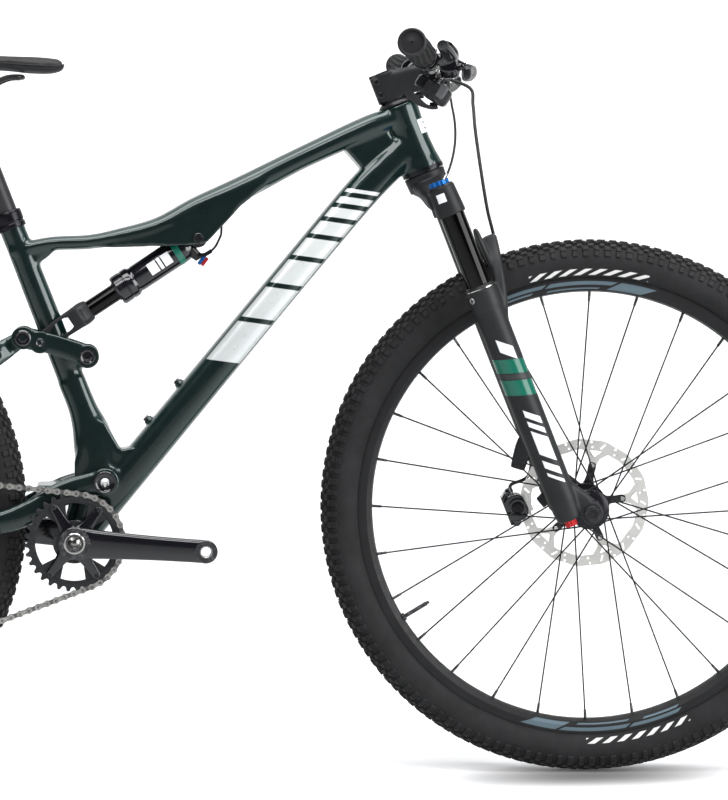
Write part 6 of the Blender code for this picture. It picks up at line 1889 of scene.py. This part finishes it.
def build_rocker():
    for side, word in SIDES:
        middle = (ROCKER_PIVOT + STAY_PIVOT) / 2 + Vector((0, 0, .003))
        arm = beam([(ROCKER_PIVOT + side * .0315 * LEFT, .0044, .0142),
                    (middle + side * .0315 * LEFT, .0044, .0132),
                    (STAY_PIVOT + side * .0315 * LEFT, .0044, .0138)], power=4, count=40)
        bosses = ((ROCKER_PIVOT, .0156), (STAY_PIVOT, .0153), (YOKE_PIVOT, .0148))
        shapes = [arm] + [across(p, side * .0272, side * .0358, r, 56) for p, r in bosses]
        shapes += [across(p, side * .0202, side * .0280, .0020, 24) for p in (STAY_PIVOT, YOKE_PIVOT)]
        mesh = fused_mesh(joined(*shapes), .0007, 7)
        mesh = cut(mesh, across(ROCKER_PIVOT, -.05, .05, .0063))
        piece("rocker_arm_" + word, mesh, "paint", "rocker", ["rocker_link_" + word])
        for p, name, size in ((STAY_PIVOT, "stay", .0108), (YOKE_PIVOT, "yoke", .0058)):
            head = [(0, 0), (0, size), (.0008, size), (.0018, size * .86), (.0010, size * .62),
                    (.0016, -size * .44), (.0002, -size * .38), (.0002, 0)]
            bolt = turned(head, at(p.x, p.z, side * .0355), side * LEFT, 60)
            piece("rocker_%s_bolt_%s" % (name, word), bolt, "black_gloss", "rocker")


def build_shock():
    eye = across(SHOCK_MOUNT, -.0150, .0150, .0125, 56)
    neck = cylinder(shock(.003), shock(.020), .0102, 48)
    eye_mesh = cut(fused_mesh(joined(eye, neck), .0008, 8), across(SHOCK_MOUNT, -.05, .05, .0043))
    piece("shock_eye", eye_mesh, "black_satin", "shock_body")
    can = [(.0125, .0001), (.0125, .0110), (.0145, .0140), (.0200, .0172), (.0240, .0183), (.0300, .0186),
           (.0980, .0186), (.1000, .0181), (.1010, .0181), (.1030, .0188), (.1050, .0205), (.1062, .0210),
           (.1140, .0210), (.1148, .0202), (.1160, .0202), (.1168, .0210), (.1280, .0210), (.1292, .0204),
           (.1310, .0190), (.1310, .0124), (.0360, .0124), (.0360, .0001)]
    piece("shock_can", turned(can, SHOCK_MOUNT, SHOCK_DOWN, 96, ring=True), "black_gloss", "shock_body",
          ["shock_body"], angle=25)
    low, high = .0290, .0380
    piece("shock_band_green", turned([(low, .0180), (low, .0189), (high, .0189), (high, .0180)],
                                     SHOCK_MOUNT, SHOCK_DOWN, 96, ring=True), "green", "shock_body")
    mark = []
    for low, high in ((.0450, .0570), (.0590, .0640), (.0660, .0790)):
        mark.append(partial_band(low, high, .01885, -116, -64))
    piece("shock_marks", joined(*mark), "white", "shock_body")
    rod = [(.0830, 0), (.0830, .0112), (.0838, .0119), (.1762, .0119), (.1762, 0)]
    piece("shock_rod", turned(rod, SHOCK_MOUNT, SHOCK_DOWN, 96), "stanchion", "shock_shaft",
          ["shock_shaft"])
    piece("shock_bump_ring", turned([(.1312, .0120), (.1312, .0132), (.1328, .0132), (.1328, .0120)],
                                    SHOCK_MOUNT, SHOCK_DOWN, 64, ring=True), "hose", "shock_body")
    blocky = beam([(shock(.1745), .0138, .0138), (shock(.1790), .0180, .0152), (shock(.1860), .0225, .0160),
                   (shock(.2000), .0250, .0150)], power=3.4, count=40)
    shapes = [blocky]
    for side in (-1, 1):
        y = side * .0225
        shapes.append(beam([(shock(.190, 0, y), .0028, .0152), (shock(.2250, 0, y), .0028, .0140),
                            (shock(.2544, 0, y), .0028, .0105)], power=4, count=32))
        shapes.append(across(YOKE_PIVOT, side * .0197, side * .0253, .0108, 48))
    mesh = softened(fused_mesh(joined(*shapes), .0010, 8),
                    [(shock(.198, 0, s * .022), .016) for s in (-1, 1)], 12)
    windows = [beam([(shock(.2050, 0, s * .0225), .0080, .0075), (shock(.2120, 0, s * .0225), .0080, .0098),
                     (shock(.2240, 0, s * .0225), .0080, .0092),
                     (shock(.2350, 0, s * .0225), .0080, .0050)], power=3, count=32) for s in (-1, 1)]
    piece("shock_yoke_shell", cut(mesh, across(YOKE_PIVOT, -.05, .05, .0053), *windows), "black_matt",
          "shock_shaft", ["shock_yoke"])
    stalk = beam([(shock(.0170, -.0060), .0120, .0080), (shock(.0150, -.0160), .0098, .0072),
                  (shock(.0120, -.0245), .0075, .0066)], power=3, tall=SHOCK_DOWN)
    piece("shock_valve_block", fused_mesh(stalk, .0007, 6), "black_satin", "shock_body")
    down = (shock(.0085, -.0340) - shock(.0120, -.0245)).normalized()
    turn = axes(down.cross(LEFT), -down, LEFT, shock(.0118, -.0250))
    for name, radius, low, high, colour in (("shock_lever_blue", .0072, 0, .0045, "blue"),
                                            ("shock_knob_red", .0058, .0045, .0092, "red")):
        piece(name, plate(knob_outline(radius, .0007, 10), -high, -low, turn), colour, "shock_body",
              bevel=.0004)
    arm = beam([(shock(.0130, -.0190, -.0070), .0024, .0030), (shock(.0040, -.0235, -.0105), .0024, .0026),
                (shock(-.0060, -.0240, -.0120), .0028, .0028)], power=3)
    piece("shock_cable_stop", arm, "anodised", "shock_body")


def partial_band(low, high, radius, start, end):
    """A thin label wrapped part of the way round the shock can."""
    rings, steps, thick = [], 16, .00025
    for i in range(steps + 1):
        a = math.radians(start + (end - start) * i / steps)
        out = SHOCK_UP * math.cos(a) + LEFT * math.sin(a)
        rings.append([shock(low) + out * (radius - .0006), shock(high) + out * (radius - .0006),
                      shock(high) + out * (radius + thick), shock(low) + out * (radius + thick)])
    return rings_shape(rings)


# ---------------------------------------------------------------- hoses and cables
def build_hoses():
    right, left = bar_point(-.1605, .0241, -.0052), bar_point(.1605, .0241, -.0052)
    front_path = [left, fork(.1090, .0860, .152), fork(.1042, .0612, .140), fork(.0931, .0273, .115),
                  fork(.0783, -.0272, .078), fork(.0657, -.0817, .056), fork(.0608, -.1184, .054),
                  fork(.0530, -.1547, .062), fork(.0400, -.195, .0720), fork(.0160, -.260, .0888),
                  fork(.0120, -.330, .0885), fork(.0080, -.400, .0850), fork(-.0120, -.450, .0720),
                  fork(-.0420, -.4530, .0560), fork(-.0450, -.4610, .0470)]
    hose = piece_world("front_brake_hose", wire(front_path, .0024, 14, 8), "hose", STEER)
    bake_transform(hose)
    rear = [right, fork(.082, .134, -.110), fork(.082, .112, -.066), fork(.068, .100, -.034),
            fork(.052, .0980, -.018), fork(.038, .1005, -.010), fork(.0240, .1030, -.0060)]
    front("rear_brake_hose", wire(rear, .0024, 14, 8), "hose")
    shift = [bar_point(-.1405, .0080, -.0375), fork(.070, .108, -.090), fork(.072, .096, -.045),
             fork(.062, .092, -.014), fork(.050, .0950, -.002), fork(.038, .0990, .001),
             fork(.0240, .1020, .0005)]
    front("shift_cable", wire(shift, .0021, 12, 8), "hose")
    drop = [bar_point(.1480, .0020, -.0225), fork(.074, .114, .085), fork(.076, .100, .040),
            fork(.064, .094, .018), fork(.042, .0985, .0090), fork(.0240, .1030, .0070)]
    front("seatpost_cable", wire(drop, .0021, 12, 8), "hose")
    lock = [bar_point(.1500, .0020, -.0225), fork(.0735, .0911, .080), fork(.0708, .0676, .050),
            fork(.0644, .0445, .020), fork(.0542, .0231, -.020), fork(.0421, .0045, -.045),
            fork(.0301, -.0095, -.0620), fork(.0250, -.0134, -.0672)]
    front("lockout_cable", wire(lock, .0017, 12, 8), "hose")
    front("hose_clip", cylinder(fork(.0160, -.2520, .0885), fork(.0160, -.2640, .0887), .0040, 24),
          "plastic", "fork_lowers")
    remote = [shock(-.0055, -.0240, -.0120), shock(-.0150, -.0215, -.0125), shock(-.0290, -.0130, -.0120),
              shock(-.0400, .0030, -.0100), shock(-.0440, .0170, -.0070), at(.0740, .7800, -.0030)]
    piece("shock_remote_cable_end", wire(remote[:3], .0016, 12, 8), "hose", "shock_body")
    piece("shock_remote_cable", wire(remote[2:], .0016, 12, 8), "hose", "frame")
    brake = [at(-.498, .436, .0560), at(-.470, .420, .0660), at(-.430, .385, .0690),
             at(-.380, .3680, .0650), at(-.300, .3700, .0580), at(-.235, .3760, .0530)]
    piece("rear_brake_hose_end", wire(brake, .0024, 14, 8), "hose", "chainstay")
    gear = [at(-.5660, .3000, -.0930), at(-.5900, .3180, -.1000), at(-.6050, .3480, -.0980),
            at(-.5850, .3720, -.0930), at(-.5480, .3700, -.0870), at(-.5100, .3610, -.0775)]
    piece("derailleur_cable_end", wire(gear, .0021, 12, 8), "hose", "chainstay")


def piece_world(name, shape, material, matrix):
    """A piece with its points already in place and no parent."""
    mesh = mesh_from(moved(shape, matrix))
    obj = bpy.data.objects.new(name, mesh)
    bpy.context.scene.collection.objects.link(obj)
    mesh.materials.append(MATERIALS[material])
    mesh.shade_smooth()
    return obj


# ---------------------------------------------------------------- stage
# the soft contact shade under each wheel: its half length, half width, offset to the side and strength
SHADE_LONG, SHADE_WIDE, SHADE_ASIDE, SHADE_STRENGTH = 0.23, 0.090, 0.040, 0.90


def floor_material():
    """White studio paper, shaded where the tyres meet it and clear from behind."""
    n = Nodes("studio_floor")
    shade = n.mix(n.span(n.noise(2.2, 3), .35, .65), (.90, .90, .905), (.93, .93, .935))
    ray = n.tree.nodes.new("ShaderNodeLightPath")
    from_wheel = n.math("SUBTRACT", n.math("ABSOLUTE", n.dot((1, 0, 0))), WHEELBASE / 2)
    along = n.math("DIVIDE", from_wheel, SHADE_LONG)
    outward = n.math("DIVIDE", n.math("ADD", n.dot((0, 1, 0)), SHADE_ASIDE), SHADE_WIDE)
    apart = n.math("ADD", n.math("MULTIPLY", along, along), n.math("MULTIPLY", outward, outward))
    contact = n.math("MULTIPLY", n.span(apart, 0.0, 1.0, 1.0, 0.0), SHADE_STRENGTH)
    shade = n.mix(contact, shade, (.10, .097, .097))
    shade = n.mix(ray.outputs["Is Glossy Ray"], shade, (.36, .372, .368))
    n.set(Base_Color=shade, Roughness=n.span(n.noise(9, 4), .3, .7, .48, .60),
          Normal=n.bump(n.noise(160, 3), .03, .0006))
    mixer, clear = (n.tree.nodes.new(kind) for kind in ("ShaderNodeMixShader", "ShaderNodeBsdfTransparent"))
    geometry = n.tree.nodes.new("ShaderNodeNewGeometry")
    n.put(mixer.inputs[0], geometry.outputs["Backfacing"])
    n.put(mixer.inputs[1], n.shader.outputs[0])
    n.put(mixer.inputs[2], clear.outputs[0])
    n.put(n.tree.nodes["Material Output"].inputs["Surface"], mixer.outputs[0])
    seen = n.math("MULTIPLY", ray.outputs["Is Camera Ray"], n.span(contact, 0.0, SHADE_STRENGTH, 0.24, 0.0))
    mirrored_glow = n.math("MULTIPLY", ray.outputs["Is Glossy Ray"], 0.42)
    n.set(Emission_Color=(1, 1, 1), Emission_Strength=n.math("ADD", seen, mirrored_glow))
    return n.material


def build_stage():
    """A floor that sweeps up into a back wall."""
    profile = [(-8.0, 0), (1.8, 0)]
    for k in range(1, 11):
        a = math.radians(9 * k)
        profile.append((1.8 + 1.5 * math.sin(a), 1.5 - 1.5 * math.cos(a)))
    profile.append((3.3, 8.0))
    across_x = (-9.0, -3, 0, 3, 9.0)
    points = [(x, y, z - .0002) for y, z in profile for x in across_x]
    faces = [(i * 5 + j, i * 5 + j + 1, (i + 1) * 5 + j + 1, (i + 1) * 5 + j)
             for i in range(len(profile) - 1) for j in range(len(across_x) - 1)]
    mesh = bpy.data.meshes.new("studio_sweep")
    mesh.from_pydata(points, [], faces)
    sweep = bpy.data.objects.new("studio_sweep", mesh)
    bpy.context.scene.collection.objects.link(sweep)
    mesh.materials.append(floor_material())
    mesh.shade_smooth()


def area_light(name, place, target, size, power, size_y=None):
    light = bpy.data.lights.new(name, "AREA")
    light.shape, light.size, light.size_y = "RECTANGLE", size, size_y or size
    light.energy = power
    obj = bpy.data.objects.new(name, light)
    bpy.context.scene.collection.objects.link(obj)
    obj.matrix_world = facing(Vector(place) - Vector(target), Vector(place))


def build_lights_and_camera():
    area_light("overhead_softbox", (.1, -.7, 2.9), (.1, 0, .4), 3.2, 125, size_y=1.5)
    area_light("front_softbox", (-1.0, -3.1, 3.1), (.1, 0, .5), 2.6, 66, size_y=.9)
    area_light("side_strip", (2.9, -1.8, 1.4), (.3, 0, .6), 2.3, 150, size_y=2.6)
    area_light("back_wall_wash", (0, 1.2, 3.4), (0, 3.2, 1.0), 3.0, 45)
    world = bpy.data.worlds.new("studio")
    world.use_nodes = True
    world.node_tree.nodes["Background"].inputs[0].default_value = (.93, .95, 1.0, 1)
    light_path = world.node_tree.nodes.new("ShaderNodeLightPath")
    strength = world.node_tree.nodes.new("ShaderNodeMix")
    world.node_tree.links.new(light_path.outputs["Is Glossy Ray"], strength.inputs[0])
    strength.inputs[2].default_value, strength.inputs[3].default_value = 0.52, 0.12
    world.node_tree.links.new(strength.outputs[0], world.node_tree.nodes["Background"].inputs[1])
    scene = bpy.context.scene
    scene.world = world
    camera = bpy.data.cameras.new("camera")
    camera.lens, camera.sensor_width = 115.7, 36
    camera.clip_end = 60
    obj = bpy.data.objects.new("camera", camera)
    scene.collection.objects.link(obj)
    place, target = Vector((-.1155, -3.5, .707)), Vector((.2590, 0, .5190))
    obj.matrix_world = Matrix.Translation(place) @ (target - place).to_track_quat("-Z",
                                                                                  "Y").to_matrix().to_4x4()
    scene.camera = obj
    scene.view_settings.view_transform = "Standard"
    scene.view_settings.look = "None"
    scene.view_settings.exposure = -0.55


def paint_cad_nodes():
    """Gives any CAD node that still shows a plain black finish."""
    for node in frame["nodes"].values():
        node.data.materials.clear()
        node.data.materials.append(MATERIALS["anodised"])


build_main_frame()
build_frame_hardware()
build_saddle()
build_fork_crown()
build_fork_lowers()
build_bar_and_stem()
build_grips()
build_brake_levers()
build_shifter()
build_remote()
build_wheel("front")
build_wheel("rear")
CHAIN_PINS = build_chain()
build_crankset(CHAIN_PINS)
build_cassette(CHAIN_PINS)
build_derailleur(CHAIN_PINS)
build_chainstay()
build_seatstay()
build_rocker()
build_shock()
build_hoses()
paint_cad_nodes()
build_stage()
build_lights_and_camera()
